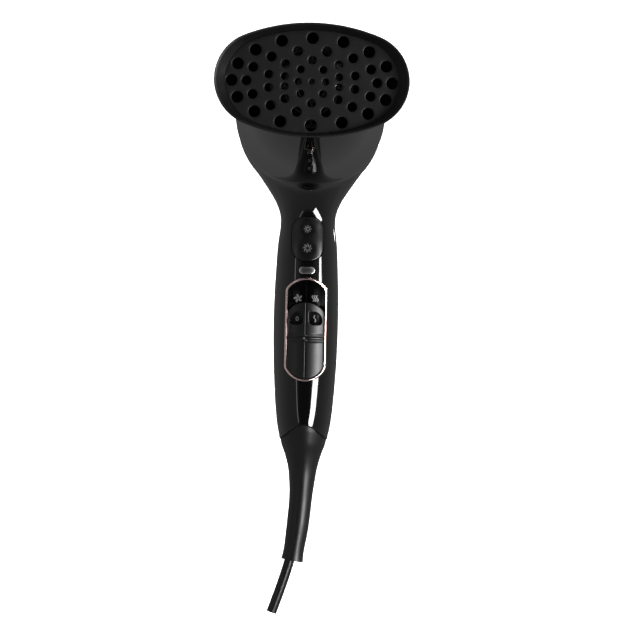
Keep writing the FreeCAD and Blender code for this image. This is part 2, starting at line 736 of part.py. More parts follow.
def rotor():
    """Everything that spins: shaft, armature, commutator and fan."""
    keep(rod("motor_shaft", "shaft_r", 92, (0, -36, 0), "y"))
    core = ring("core_blank", "rotor_r", "shaft_r", "stator_back - 0.2", "stator_front + 0.2")
    slot = box("core_slot_0", (-1, 1), ("stator_front - 1", "stator_back + 1"), ("rotor_r - 3.4", "rotor_r + 1"))
    keep(cut("armature_core", core, *around("core_slot", slot, 10)))
    ends = []
    for index, (start, end) in enumerate((("stator_back - 0.2", "stator_back + 5"),
                                          ("stator_front + 0.2", "stator_front - 5"))):
        sign = 1 if index == 0 else -1
        ends.append(turned("winding_%d" % index, [
            ("shaft_r + 1", start), ("rotor_r - 2.6", start),
            ("rotor_r - 2.6", "%s - %d" % (end, 2 * sign)),
            ("rotor_r - 4.6", end, 2 * sign), ("shaft_r + 1", end)] if sign > 0 else [
            ("shaft_r + 1", end), ("rotor_r - 4.6", end),
            ("rotor_r - 2.6", "%s + 2" % end, 2),
            ("rotor_r - 2.6", start), ("shaft_r + 1", start)]))
    keep(group("armature_windings", *ends))
    drum = ring("commutator_drum", 6, "shaft_r", -19, -27)
    groove = box("commutator_groove_0", (-0.25, 0.25), (-28, -18), (5, 7))
    keep(cut("commutator", drum, *around("commutator_groove", groove, 12)))
    keep(impeller())
    keep(turned("fan_nut", [("shaft_r", "fan_back + 0.2"), (4.2, "fan_back + 0.2"), (4.2, "fan_back + 2.6"),
                            (3.2, "fan_back + 3.4"), ("shaft_r", "fan_back + 3.4")]))


def impeller():
    """Axial fan: a bell hub with curved blades."""
    hub = turned("impeller_hub", [
        ("shaft_r", "fan_front + 8"), (5, "fan_front + 8"), (5, "fan_back - 4"), ("fan_hub_r - 1.6", "fan_back - 4"),
        ("fan_hub_r - 1.6", "fan_front"), ("fan_hub_r", "fan_front"), ("fan_hub_r", "fan_back - 3"),
        ("fan_hub_r - 3", "fan_back", 3), ("shaft_r", "fan_back"),
    ])
    blade = doc.addObject("PartDesign::Body", "impeller_blade_0")
    outline = [("fan_front + 2", -9), ("fan_back - 2", 9, 22), ("fan_back - 2.6", 10.1), ("fan_front + 1.2", -7.8, -21)]
    sketch = draw(blade, "impeller_blade_outline", "YZ_Plane", [outline], 8)
    pad = blade.newObject("PartDesign::Pad", "impeller_blade_pad")
    pad.Profile = sketch
    pad.setExpression("Length", bound("fan_r"))
    sweep = ring("impeller_sweep", "fan_r", "fan_hub_r - 0.8", "fan_back + 1", "fan_front - 1")
    blades = fuse("impeller_blades", *around("impeller_blade", blade, int(number("fan_blades"))))
    return fuse("fan_impeller", hub, common("impeller_blades_trimmed", blades, sweep))


# ---- heater --------------------------------------------------------------------------------------

def heater():
    keep(turned("heat_shield", [(24.8, "shield_front"), (25.6, "shield_front"), (37.2, -58, 400),
                                (42.6, -26), (41.8, -26), (36.4, -58)]))
    edge = "(coil_r - coil_wire_r - 0.05)"
    outline = [("-" + edge, -86), (-30.7, -86), (-30.7, -90), (30.7, -90), (30.7, -86), (edge, -86),
               (edge, -40), (38.2, -40), (38.2, -37), (-38.2, -37), (-38.2, -40), ("-" + edge, -40)]
    level = prism("mica_level", "XY_Plane", [outline], "-mica / 2", "mica")
    upright = prism("mica_upright", "YZ_Plane", [[(y, x) for x, y in reversed(outline)]], "-mica / 2", "mica")
    keep(fuse("heater_frame", level, upright))
    keep(coil("heater_coil_high", "coil_high", 6))
    keep(coil("heater_coil_low", "coil_low", 6))
    keep(fuse("thermostat", box("thermostat_case", (5, 13), (-60, -46), (0.4, 4.4)),
              rod("thermostat_cap", 3, 1.6, (9, -53, 4.4), "z")))
    keep(fuse("thermal_fuse", rod("fuse_case", 1.6, 10, (-9, -60, 2.1), "y"),
              rod("fuse_lead_back", 0.5, 5, (-9, -50, 2.1), "y"),
              rod("fuse_lead_front", 0.5, 5, (-9, -65, 2.1), "y")))


def coil(name, start, turns):
    """Heating wire round the mica frame: open turns, each joined to the next by a slanting step."""
    gap = math.radians(number("coil_gap"))
    radius = number("coil_r")
    parts = []
    for step in range(turns):
        place = "%s + %d * coil_pitch" % (start, step)
        turn = doc.addObject("Part::Torus", "%s_turn_%d" % (name, step))
        turn.setExpression("Radius1", bound("coil_r"))
        turn.setExpression("Radius2", bound("coil_wire_r"))
        turn.setExpression("Angle3", bound("360 - coil_gap"))
        turn.Placement = Placement(Vector(), AIMS["y"])
        turn.setExpression("Placement.Base.y", bound(place))
        parts.append(turn)
        if step + 1 < turns:
            low = number(place)
            head = Vector(radius * math.cos(gap), low, radius * math.sin(gap))
            foot = Vector(radius, low + number("coil_pitch"), 0)
            link = doc.addObject("Part::Cylinder", "%s_step_%d" % (name, step))
            link.setExpression("Radius", bound("coil_wire_r - 0.03"))
            link.Height = (foot - head).Length
            link.Placement = Placement(head, Rotation(Vector(0, 0, 1), foot - head))
            parts += [link, ball("%s_head_%d" % (name, step), "coil_wire_r + 0.04", tuple(head)),
                      ball("%s_foot_%d" % (name, step), "coil_wire_r + 0.04", tuple(foot))]
    return fuse(name, *parts)


# ---- switches ------------------------------------------------------------------------------------

def slab_between(name, outer, inner, low, high):
    """A straight curved plate that follows the front of the handle."""
    shell = cut(name + "_pipe", rod(name + "_out", outer, "(%s) - (%s)" % (high, low), (0, 0, low), "z"),
                rod(name + "_in", inner, "(%s) - (%s) + 2" % (high, low), (0, 0, "%s - 1" % low), "z"))
    front = box(name + "_front", (-40, 40), (-40, -2), ("%s - 1" % low, "%s + 1" % high))
    return common(name, shell, front)


def switch_field():
    ring_prism = prism("trim_ring_prism", "XZ_Plane", [field_loop("0.05"), field_loop("ring_bar")], 2, 38)
    keep(common("trim_ring", ring_prism, grip_skin("trim_ring_layer", "ring_proud", "ring_deep")))
    plate = slab_between("panel_plate", "panel_r", "panel_r - panel_thick", "field_bottom - 1.5", "field_top + 1.5")
    sides = box("panel_sides", ("-field_w - 1.2", "field_w + 1.2"), (-40, 0), ("field_bottom - 2", "field_top + 2"))
    wall_prism = prism("panel_wall_prism", "XZ_Plane", [field_loop("0.1"), field_loop("ring_bar - 0.1")], 2, 38)
    wall = common("panel_wall", wall_prism,
                  cut("panel_wall_layer", grip_loft("panel_wall_loft", "ring_deep + 0.05"),
                      rod("panel_wall_core", "panel_r - 0.4", 90, (0, 0, "field_bottom - 10"), "z")))
    slots = [box("stem_slot_%d" % index,
                 ("%s - stem_wide / 2 - 0.3" % x, "%s + stem_wide / 2 + 0.3" % x), (-40, -2),
                 ("stem_z - stem_long / 2 - 0.4", "stem_z + stem_long / 2 + cap_travel + 0.4"))
             for index, x in enumerate(("-stem_x", "stem_x"))]
    keep(cut("switch_panel", fuse("panel_blank", common("panel_trimmed", plate, sides), wall), *slots))
    for name, side in (("speed", -1), ("heat", 1)):
        slider(name, side)


def slider(name, side):
    """A slide cap with its window and thumb ridge, its carriage and its switch."""
    x = "%d * stem_x" % side
    inner, outer = ("cap_gap / 2", "field_w") if side > 0 else ("-field_w", "-cap_gap / 2")
    half = box(name + "_half", (inner, outer), (-40, 0), (-200, -90))
    edge = "ring_bar + cap_gap"
    blank = common(name + "_blank", slab_between(name + "_plate", "cap_r", "panel_r + cap_clear", -175, -110),
                   prism(name + "_prism", "XZ_Plane", [field_loop(edge, "cap_travel + cap_gap + 0.6")], 2, 38))
    thumb = common(name + "_ridge_block",
                   slab_between(name + "_ridge_plate", "cap_r + ridge_proud", "cap_r - 1", -160, -120),
                   box(name + "_ridge_band", ("-field_w + ring_bar + 1.4", "field_w - ring_bar - 1.4"), (-40, 0),
                       ("ridge_z - ridge_tall / 6", "ridge_z + ridge_tall / 6")))
    valleys = [slab_between("%s_valley_%d" % (name, index), "cap_r + 3", "cap_r - 0.7",
                            "ridge_z + %s" % low, "ridge_z + %s" % high)
               for index, (low, high) in enumerate((("ridge_tall / 6", "ridge_tall / 2"),
                                                    ("-ridge_tall / 2", "-ridge_tall / 6")))]
    window = prism(name + "_window", "XZ_Plane", [window_loop(side)], 2, 38)
    plate = common(name + "_side", cut(name + "_cut", fuse(name + "_shape", cut(name + "_grooved", blank, *valleys),
                                                           thumb), window), half)
    stem = box(name + "_stem", ("%s - stem_wide / 2" % x, "%s + stem_wide / 2" % x), ("-(panel_r + 0.6)", "carriage_y"),
               ("stem_z - stem_long / 2", "stem_z + stem_long / 2"))
    keep(fuse(name + "_cap", plate, stem))
    carriage = box(name + "_slide_plate", ("%s - carriage_half" % x, "%s + carriage_half" % x),
                   ("carriage_y", "carriage_back"),
                   ("stem_z - stem_long / 2 - cap_travel - 1", "stem_z + stem_long / 2 + cap_travel + 1"))
    lever = box(name + "_lever", ("%s - 1.1" % x, "%s + 1.1" % x), ("carriage_back - 0.2", "case_y + 1.8"),
                ("stem_z - 1.5", "stem_z + 1.5"))
    keep(fuse(name + "_carriage", carriage, lever))
    case = box(name + "_case", ("%s - case_half" % x, "%s + case_half" % x), ("case_y", "case_back"),
               ("stem_z - 12", "stem_z + 22"))
    channel = box(name + "_channel", ("%s - 1.4" % x, "%s + 1.4" % x), ("case_y - 1", "case_y + 2.2"),
                  ("stem_z - 2", "stem_z + 2 + cap_travel"))
    keep(cut(name + "_switch", case, channel))


def window_loop(side):
    """The window near a cap's top: a block with rounded lower corners and a cut outer upper corner."""
    near, far = 1.9 * side, 10.6 * side
    low, high, mid = "window_bottom", "window_top", "window_top - 3.4"
    corners = [(near, low), (far, low), (far, mid), (far - 2.6 * side, high), (near, high)]
    return corners if side > 0 else list(reversed(corners))


def rocker():
    layer = grip_skin("rocker_layer", "rocker_proud", "rocker_thick")
    plate = common("rocker_plate", prism("rocker_prism", "XZ_Plane", [rocker_loop("rocker_gap")], 2, 38), layer)
    middle = "(rocker_top + rocker_bottom) / 2"
    dishes = [ball("rocker_dish_%d" % index, "dish_r",
                   (0, "-(%s + rocker_proud + dish_r - dish_deep)" % depth, "%s + %s" % (middle, step)))
              for index, (depth, step) in enumerate((("18.3", "dish_step"), ("19.7", "-dish_step")))]
    lugs = [box("rocker_lug_%d" % index, (low, low + 2.4), (-16.6, "rocker_pin_y + 2.2"),
                ("%s - 2.2" % middle, "%s + 2.2" % middle)) for index, low in enumerate((-7, 4.6))]
    bore = rod("rocker_bore", "rocker_pin_r + pin_clear", 40, (-20, "rocker_pin_y", middle), "x")
    keep(cut("boost_rocker", fuse("rocker_blank", plate, *lugs), bore, *dishes))
    keep(rod("rocker_pin", "rocker_pin_r", 15, (-7.5, "rocker_pin_y", middle), "x"))
    ears = [box("cradle_ear_%d" % index, (low, low + 2.2), (-14, -7), ("%s - 3" % middle, "%s + 3" % middle))
            for index, low in enumerate((-4.2, 2))]
    base = box("cradle_base", (-5, 5), (-8.6, -5.2), ("%s - 3" % middle, "%s + 3" % middle))
    pin_seat = rod("cradle_seat", "rocker_pin_r + 0.01", 40, (-20, "rocker_pin_y", middle), "x")
    keep(cut("rocker_cradle", fuse("cradle_blank", base, *ears), pin_seat))
    switches = []
    for index, step in enumerate((9, -9)):
        case = box("boost_case_%d" % index, (-4, 4), (-11.4, -5.2),
                   ("%s + %d - 3" % (middle, step), "%s + %d + 3" % (middle, step)))
        plunger = rod("boost_plunger_%d" % index, 1.2, 3.2, (0, -14.4, "%s + %d" % (middle, step)), "y")
        switches.append(fuse("boost_switch_%d" % index, case, plunger))
    keep(group("boost_switches", *switches))


def badge():
    layer = grip_skin("badge_layer", 0.25, 0.75)
    keep(common("badge_plate", prism("badge_prism", "XZ_Plane", [badge_loop("0")], 2, 38), layer))


def electronics():
    keep(prism("control_board", "XZ_Plane", [[(-12.4, -176), (12.4, -176), (12.4, -66), (-12.4, -66)]], 3.6, 1.6))
    keep(box("suppressor_capacitor", (-8.5, 8.5), (-3.6, 5), (-118, -104)))
    keep(box("ion_generator", (-8.5, 8.5), (-3.6, 9), (-96, -68)))
    core = rod("choke_core", 3.4, 20, (0, 1.1, -146), "z")
    winding = rod("choke_winding", 4.6, 14, (0, 1.1, -143), "z")
    keep(fuse("choke_coil", core, winding, box("choke_foot", (-3, 3), (-3.6, 0), (-146, -126))))


# ---- cord ----------------------------------------------------------------------------------------

def along_bend(distance):
    """Centre and tilt of the boot at a distance below the place where it starts to bend."""
    radius = number("bend_r")
    angle = distance / radius if distance > 0 else 0
    x = -radius * (1 - math.cos(angle))
    z = number("bend_z") - (radius * math.sin(angle) if distance > 0 else distance)
    return Vector(x, 0, z), math.degrees(angle)


def strain_relief():
    """Flexible boot: a shoulder under the handle's arch that thins to a bent tail."""
    length = number("bend_r") * math.radians(number("boot_angle"))
    stations = [(-24, 17.2), (-18, 16.9), (-9, 14.6), (-5, 13.3), (-1, 11.8), (3, 10.6), (7, 9.6), (12, 8.75),
                (19, 8.0), (30, 7.35), (45, 7.2), (length, 7.2)]
    sections = []
    for index, (distance, radius) in enumerate(stations):
        place, tilt = along_bend(distance)
        if distance <= 0:
            place = Vector(0, 0, number("bend_z") - distance)
        section = doc.addObject("Part::Circle", "boot_section_%d" % index)
        section.Radius = radius
        section.Placement = Placement(place, Rotation(Vector(0, 1, 0), tilt))
        sections.append(section)
    loft = doc.addObject("Part::Loft", "boot_loft")
    loft.Sections = sections
    loft.Solid = True
    skirt = cut("boot_skirt", common("boot_trimmed", loft, fuse("boot_zone", grip_loft("boot_limit", 0.5),
                box("boot_below", (-40, 40), (-40, 40), (-300, "tail_z + 2")))), arch_zone("boot_arch", 0.15))
    plug = rod("boot_plug", 11, 22, (0, 0, "arch_z - 3"), "z")
    bore = cord_piece("boot_bore", 0, "boot_bore_r", -176, 0)
    mouth = doc.addObject("Part::Cone", "boot_mouth")
    mouth.setExpression("Radius1", bound("boot_mouth_r"))
    mouth.Radius2 = 3
    mouth.Height = 28
    place, tilt = along_bend(length + 1)
    mouth.Placement = Placement(place, Rotation(Vector(0, 1, 0), tilt))
    keep(cut("strain_relief", fuse("boot_blank", skirt, plug), bore, mouth))


def cord_path(top):
    """The cord's centre line, as (x, z): straight down the handle, then two bends towards -X."""
    return [(0, top), (0, "bend_z"), (-1.76, -256), (-7.6, -286.5), (-18.1, -318.7)]


def power_cord():
    """Sheath with two bores, and the two insulated cores that run through them."""
    cores = [cord_piece("cord_core_%d" % index, x, 1.1, -170, 3) for index, x in enumerate((-1.45, 1.45))]
    bores = [cord_piece("cord_bore_%d" % index, x, 1.15, -170, 3) for index, x in enumerate((-1.45, 1.45))]
    keep(cut("power_cord", cord_piece("cord_sheath", 0, "cord_r", -176, 0), *bores))
    keep(group("cord_cores", *cores))


def cord_piece(name, x, radius, top, extra):
    """A round strand swept along the cord's centre line."""
    points = [Vector(number(px) + x, 0, number(pz)) for px, pz in cord_path(top)]
    start = Part.makeLine(points[0], points[1])
    curve = Part.BSplineCurve()
    curve.interpolate(Points=points[1:], InitialTangent=Vector(0, 0, -1), FinalTangent=Vector(-0.32, 0, -0.95))
    last = points[-1] + Vector(-0.32, 0, -0.95) * (extra / 1.0025)
    edges = [start, curve.toShape()]
    if extra:
        edges.append(Part.makeLine(points[-1], last))
    section = Part.Wire(Part.Circle(points[0], Vector(0, 0, 1), number(radius)).toShape())
    obj = doc.addObject("Part::Feature", name)
    obj.Shape = Part.Wire(edges).makePipeShell([section], True, False)
    return obj


def cord_clamp():
    block = box("clamp_block", (-6.8, 6.8), (-4.8, 4.8), (-184, -178))
    bore = rod("clamp_bore", "cord_r + 0.05", 20, (0, 0, -190), "z")
    return cut("cord_clamp", block, bore)


# ---- document ------------------------------------------------------------------------------------

def build():
    fill_sheet()
    housing()
    housing_screws()
    nozzle()
    diffuser()
    inlet()
    motor_duct()
    stator()
    brackets()
    brushes()
    rotor()
    heater()
    switch_field()
    rocker()
    badge()
    electronics()
    strain_relief()
    power_cord()
    keep(cord_clamp())
    doc.recompute()


def check():
    for obj in doc.Objects:
        if "Invalid" in obj.State or "Error" in obj.State:
            raise RuntimeError("%s did not rebuild: %s" % (obj.Name, obj.State))
    for obj in nodes:
        if obj.Shape.isNull() or not obj.Shape.isValid() or not obj.Shape.Solids:
            raise RuntimeError("%s has no valid solid" % obj.Label)


def write():
    os.makedirs("parts", exist_ok=True)
    for obj in nodes:
        obj.Shape.exportStep("parts/%s.step" % obj.Label)


build()
check()
write()
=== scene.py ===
import json
import math

import bmesh
import bpy
import numpy as np
from mathutils import Matrix, Vector
from mathutils.geometry import delaunay_2d_cdt


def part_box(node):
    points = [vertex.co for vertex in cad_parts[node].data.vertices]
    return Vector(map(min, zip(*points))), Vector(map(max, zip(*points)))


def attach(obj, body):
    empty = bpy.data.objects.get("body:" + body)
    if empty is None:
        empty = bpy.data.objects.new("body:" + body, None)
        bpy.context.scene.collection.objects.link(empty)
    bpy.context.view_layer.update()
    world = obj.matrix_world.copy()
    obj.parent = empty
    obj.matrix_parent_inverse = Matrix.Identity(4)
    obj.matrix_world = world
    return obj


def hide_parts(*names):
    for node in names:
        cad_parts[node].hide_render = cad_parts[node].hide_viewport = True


# Hair dryer with an oval diffuser. Lengths are in millimetres until a mesh is made, in the CAD frame:
# X to the right, the air leaves towards -Y, Z up, origin on the barrel's axis above the handle.

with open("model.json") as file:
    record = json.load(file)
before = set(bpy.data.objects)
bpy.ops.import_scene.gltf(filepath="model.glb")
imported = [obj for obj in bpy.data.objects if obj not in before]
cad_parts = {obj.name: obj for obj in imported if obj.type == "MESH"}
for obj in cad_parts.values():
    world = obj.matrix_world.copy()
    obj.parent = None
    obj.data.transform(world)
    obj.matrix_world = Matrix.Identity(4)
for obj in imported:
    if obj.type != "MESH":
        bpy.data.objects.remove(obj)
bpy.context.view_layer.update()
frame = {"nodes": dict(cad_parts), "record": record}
MM = 0.001

# ---- sizes that come from the frame --------------------------------------------------------------


def node_box(name):
    """Lowest and highest corner of a CAD node, in millimetres."""
    low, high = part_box(name)
    return np.array(low) / MM, np.array(high) / MM


FRONT_LOW = node_box("housing_front")[0]
REAR_HIGH = node_box("housing_rear")[1]

BARREL_R = REAR_HIGH[0]
NOSE_Y = FRONT_LOW[1]
BACK_Y = REAR_HIGH[1]

# ---- shape of the shell, as the CAD has it -------------------------------------------------------

WALL = 2.2
STRAIGHT_FRONT = -10.0
STRAIGHT_BACK = 30.0
NOSE_ARC_R = 375.34
BACK_ARC_R = 364.7
FLARE = [(-18.0, 42.3, 46.0), (-27.1, 39.2, 40.0), (-36.8, 33.2, 33.4),
         (-46.5, 26.5, 26.7), (-55.0, 21.2, 21.5), (-65.0, 17.75, 18.15)]
TAIL = [(-198.0, 17.1, 17.5), (-212.0, 14.2, 14.6)]
BELLY_Z, BELLY_W, BELLY_BOW, GRIP_DEEPER = -131.6, 20.8, 0.00078, 0.4
GRIP_STATIONS = np.linspace(-80.0, -185.0, 8)
BLEND_R = 9.0
ARCH_Z, ARCH_R = -207.5, 19.3


def natural_spline(x, y):
    """Second derivatives of the natural cubic spline through the points."""
    count = len(x)
    step = np.diff(x)
    system = np.eye(count)
    right = np.zeros(count)
    for i in range(1, count - 1):
        system[i, i - 1:i + 2] = step[i - 1], 2 * (step[i - 1] + step[i]), step[i]
        right[i] = 6 * ((y[i + 1] - y[i]) / step[i] - (y[i] - y[i - 1]) / step[i - 1])
    return np.linalg.solve(system, right)


def spline_at(x, y, bend, at):
    """Value of the spline at each place, carried on straight beyond its ends."""
    at = np.asarray(at, float)
    inside = np.clip(at, x[0], x[-1])
    i = np.clip(np.searchsorted(x, inside) - 1, 0, len(x) - 2)
    step = x[i + 1] - x[i]
    a = (x[i + 1] - inside) / step
    b = 1 - a
    value = a * y[i] + b * y[i + 1]
    value += ((a ** 3 - a) * bend[i] + (b ** 3 - b) * bend[i + 1]) * step ** 2 / 6
    slope = (y[i + 1] - y[i]) / step
    slope += ((1 - 3 * a ** 2) * bend[i] + (3 * b ** 2 - 1) * bend[i + 1]) * step / 6
    return value + slope * (at - inside)


def grip_splines():
    stations = list(FLARE)
    for z in GRIP_STATIONS:
        width = BELLY_W - BELLY_BOW * (z - BELLY_Z) ** 2
        stations.append((z, width, width + GRIP_DEEPER))
    table = np.array(sorted(stations + TAIL))
    return [(table[:, 0], table[:, k], natural_spline(table[:, 0], table[:, k])) for k in (1, 2)]


GRIP_W, GRIP_D = grip_splines()


def within_barrel(size, root_size, z):
    """Above the flare's root the handle shrinks along a circle that stays inside the barrel."""
    root_z = FLARE[0][0]
    above = np.sqrt(np.maximum(root_size ** 2 + root_z ** 2 - np.asarray(z, float) ** 2, 1))
    return np.where(np.asarray(z) > root_z, above, size)


def grip_width(z):
    return within_barrel(spline_at(*GRIP_W, z), FLARE[0][1], z)


def grip_depth(z):
    return within_barrel(spline_at(*GRIP_D, z), FLARE[0][1], z)


def barrel_radius(y):
    """Outer radius of the barrel at each y."""
    y = np.asarray(y, float)
    front = BARREL_R - NOSE_ARC_R + np.sqrt(np.maximum(NOSE_ARC_R ** 2 - (y - STRAIGHT_FRONT) ** 2, 1))
    back = BARREL_R - BACK_ARC_R + np.sqrt(np.maximum(BACK_ARC_R ** 2 - (y - STRAIGHT_BACK) ** 2, 1))
    return np.where(y < STRAIGHT_FRONT, front, np.where(y > STRAIGHT_BACK, back, BARREL_R))


def barrel_field(p):
    return np.hypot(p[:, 0], p[:, 2]) - barrel_radius(p[:, 1])


def grip_field(p):
    """Zero on the handle; it ends inside the barrel, so the field rises quickly above the barrel's axis."""
    a, b = grip_width(p[:, 2]), grip_depth(p[:, 2])
    outside = (np.sqrt((p[:, 0] / a) ** 2 + (p[:, 1] / b) ** 2) - 1) * np.minimum(a, b)
    return outside + 2 * np.maximum(p[:, 2], 0)


def gradient(field, p, step=0.02):
    out = np.empty_like(p)
    for k in range(3):
        shift = np.zeros(3)
        shift[k] = step
        out[:, k] = (field(p + shift) - field(p - shift)) / (2 * step)
    return out


def unit(v):
    return v / np.maximum(np.linalg.norm(v, axis=1), 1e-9)[:, None]


def shell_field(p):
    """Zero on the outside of the housing. The barrel and the handle run into each other with a fillet
    that is full where they cross squarely, and fades out on the flanks, where they are tangent."""
    barrel, grip = barrel_field(p), grip_field(p)
    facing = np.sum(unit(gradient(barrel_field, p)) * unit(gradient(grip_field, p)), axis=1)
    reach = BLEND_R * np.clip(1.15 - 1.15 * facing, 0.02, 1.6)
    u, v = np.maximum(reach - barrel, 0), np.maximum(reach - grip, 0)
    return np.maximum(reach, np.minimum(barrel, grip)) - np.hypot(u, v)


# ---- mesh helpers --------------------------------------------------------------------------------


def new_object(name, mesh):
    obj = bpy.data.objects.new(name, mesh)
    bpy.context.scene.collection.objects.link(obj)
    return obj


def mesh_from(name, points, faces):
    """A mesh object from points in millimetres."""
    mesh = bpy.data.meshes.new(name)
    mesh.from_pydata([tuple(point) for point in np.asarray(points) * MM], [], [tuple(f) for f in faces])
    mesh.update()
    return new_object(name, mesh)


def points_of(obj):
    points = np.empty(len(obj.data.vertices) * 3)
    obj.data.vertices.foreach_get("co", points)
    return points.reshape(-1, 3) / MM


def set_points(obj, points):
    obj.data.vertices.foreach_set("co", (points * MM).ravel())
    obj.data.update()


def apply_modifiers(obj):
    graph = bpy.context.evaluated_depsgraph_get()
    mesh = bpy.data.meshes.new_from_object(obj.evaluated_get(graph))
    obj.modifiers.clear()
    old, obj.data = obj.data, mesh
    bpy.data.meshes.remove(old)
    return obj


def remove(*objects):
    for obj in objects:
        mesh = obj.data
        bpy.data.objects.remove(obj)
        bpy.data.meshes.remove(mesh)


def carve(obj, cutter, operation="DIFFERENCE"):
    """Applies a boolean with another mesh, which is then removed."""
    step = obj.modifiers.new("carve", "BOOLEAN")
    step.object = cutter
    step.operation = operation
    step.solver = "EXACT"
    apply_modifiers(obj)
    remove(cutter)
    return obj


def prism(outline, axis, start, end):
    """A cutter with an outline, given as points across an axis, between two places on that axis."""
    outline = np.asarray(outline, float)
    area = np.sum(outline[:, 0] * np.roll(outline[:, 1], -1) - np.roll(outline[:, 0], -1) * outline[:, 1])
    if (area > 0) != (axis == 1):
        outline = outline[::-1]
    count = len(outline)
    points = [np.insert(point, axis, place) for place in (start, end) for point in outline]
    faces = [tuple(range(count)), tuple(range(2 * count - 1, count - 1, -1))]
    for i in range(count):
        j = (i + 1) % count
        faces.append((j, i, i + count, j + count))
    return mesh_from("cutter", points, faces)


def tube_grid(rows, closed_ends=True):
    """A mesh from rings of points, joined one to the next."""
    count = len(rows[0])
    points = [point for row in rows for point in row]
    faces = []
    for r in range(len(rows) - 1):
        for i in range(count):
            j = (i + 1) % count
            faces.append((r * count + i, r * count + j, (r + 1) * count + j, (r + 1) * count + i))
    if closed_ends:
        faces.append(tuple(range(count - 1, -1, -1)))
        faces.append(tuple(range((len(rows) - 1) * count, len(rows) * count)))
    return points, faces


def arc(centre, radius, first, last, count):
    """Points along an arc, with its angles in degrees."""
    angles = np.radians(np.linspace(first, last, count))
    return np.stack([centre[0] + radius * np.cos(angles), centre[1] + radius * np.sin(angles)], axis=1)


# ---- outlines on the front of the handle ---------------------------------------------------------

FIELD_W, FIELD_TOP, FIELD_BOTTOM = 13.45, -104.55, -170.4
FIELD_TOP_R, FIELD_BOTTOM_R, FIELD_CORNER_R = 16.0, 14.6, 4.5


def field_outline(inset=0.0, drop=0.0, detail=16):
    """Outline of the switch field, counter-clockwise: arched ends with rounded corners."""
    w, c = FIELD_W - inset, FIELD_CORNER_R - inset
    half = w - c
    loop = []
    for sign, end, radius in ((1, FIELD_TOP - drop, FIELD_TOP_R), (-1, FIELD_BOTTOM, FIELD_BOTTOM_R)):
        r = radius - inset
        middle = end - sign * radius
        reach = math.sqrt((r - c) ** 2 - half ** 2)
        turn = math.degrees(math.atan2(reach, half))
        corner = middle + sign * reach
        if sign > 0:
            loop += [arc((half, corner), c, 0, turn, detail),
                     arc((0, middle), r, turn, 180 - turn, 3 * detail)]
            loop += [arc((-half, corner), c, 180 - turn, 180, detail)]
        else:
            loop += [arc((-half, corner), c, 180, 180 + turn, detail)]
            loop += [arc((0, middle), r, 180 + turn, 360 - turn, 3 * detail)]
            loop += [arc((half, corner), c, 360 - turn, 360, detail)]
    return tidy_loop(np.concatenate(loop))


def tidy_loop(points):
    """Drops points that repeat the one before."""
    keep = np.linalg.norm(points - np.roll(points, 1, axis=0), axis=1) > 1e-4
    return points[keep]


def spread(outline, spacing):
    """The closed outline walked at an even spacing."""
    closed = np.vstack([outline, outline[:1]])
    length = np.concatenate([[0], np.cumsum(np.linalg.norm(np.diff(closed, axis=0), axis=1))])
    count = int(round(length[-1] / spacing))
    at = np.linspace(0, length[-1], count, endpoint=False)
    return np.stack([np.interp(at, length, closed[:, k]) for k in (0, 1)], axis=1)


def rounded_outline(half_width, low, high, radius, detail=14):
    corners = [(half_width - radius, high - radius, 0), (radius - half_width, high - radius, 90),
               (radius - half_width, low + radius, 180), (half_width - radius, low + radius, 270)]
    return tidy_loop(np.concatenate([arc((x, z), radius, turn, turn + 90, detail) for x, z, turn in corners]))


ROCKER_W, ROCKER_TOP, ROCKER_BOTTOM, ROCKER_CORNER_R = 10.5, -65.5, -94.3, 8.6
BADGE_W, BADGE_Z, BADGE_TALL = 5.1, -99.9, 4.5


def front_of_grip(x, z, proud=0.0):
    """y of the handle's front surface under a point of the front view."""
    a, b = grip_width(z) + proud, grip_depth(z) + proud
    return -b * np.sqrt(np.maximum(1 - (x / a) ** 2, 0))


# ---- plates that follow a surface ----------------------------------------------------------------


def inside(points, outline):
    """Which points lie within a closed outline."""
    x, z = points[:, 0][:, None], points[:, 1][:, None]
    x0, z0 = outline[:, 0], outline[:, 1]
    x1, z1 = np.roll(x0, -1), np.roll(z0, -1)
    crosses = (z0 > z) != (z1 > z)
    rise = np.where(z1 == z0, 1e-12, z1 - z0)
    return np.sum(crosses & (x < (x1 - x0) * (z - z0) / rise + x0), axis=1) % 2 == 1


def distance_to(points, outline):
    """Distance from each point to a closed outline."""
    best = np.full(len(points), 1e9)
    for start, end in zip(outline, np.roll(outline, -1, axis=0)):
        side = end - start
        along = np.clip((points - start) @ side / max(side @ side, 1e-12), 0, 1)
        best = np.minimum(best, np.linalg.norm(points - start - along[:, None] * side, axis=1))
    return best


def inset(outline, distance):
    """A counter-clockwise outline moved in by a distance."""
    side = np.roll(outline, -1, axis=0) - np.roll(outline, 1, axis=0)
    side /= np.linalg.norm(side, axis=1)[:, None]
    return outline + distance * np.stack([-side[:, 1], side[:, 0]], axis=1)


ROUNDING = [0.0, 0.08, 0.3, 0.62, 1.0]


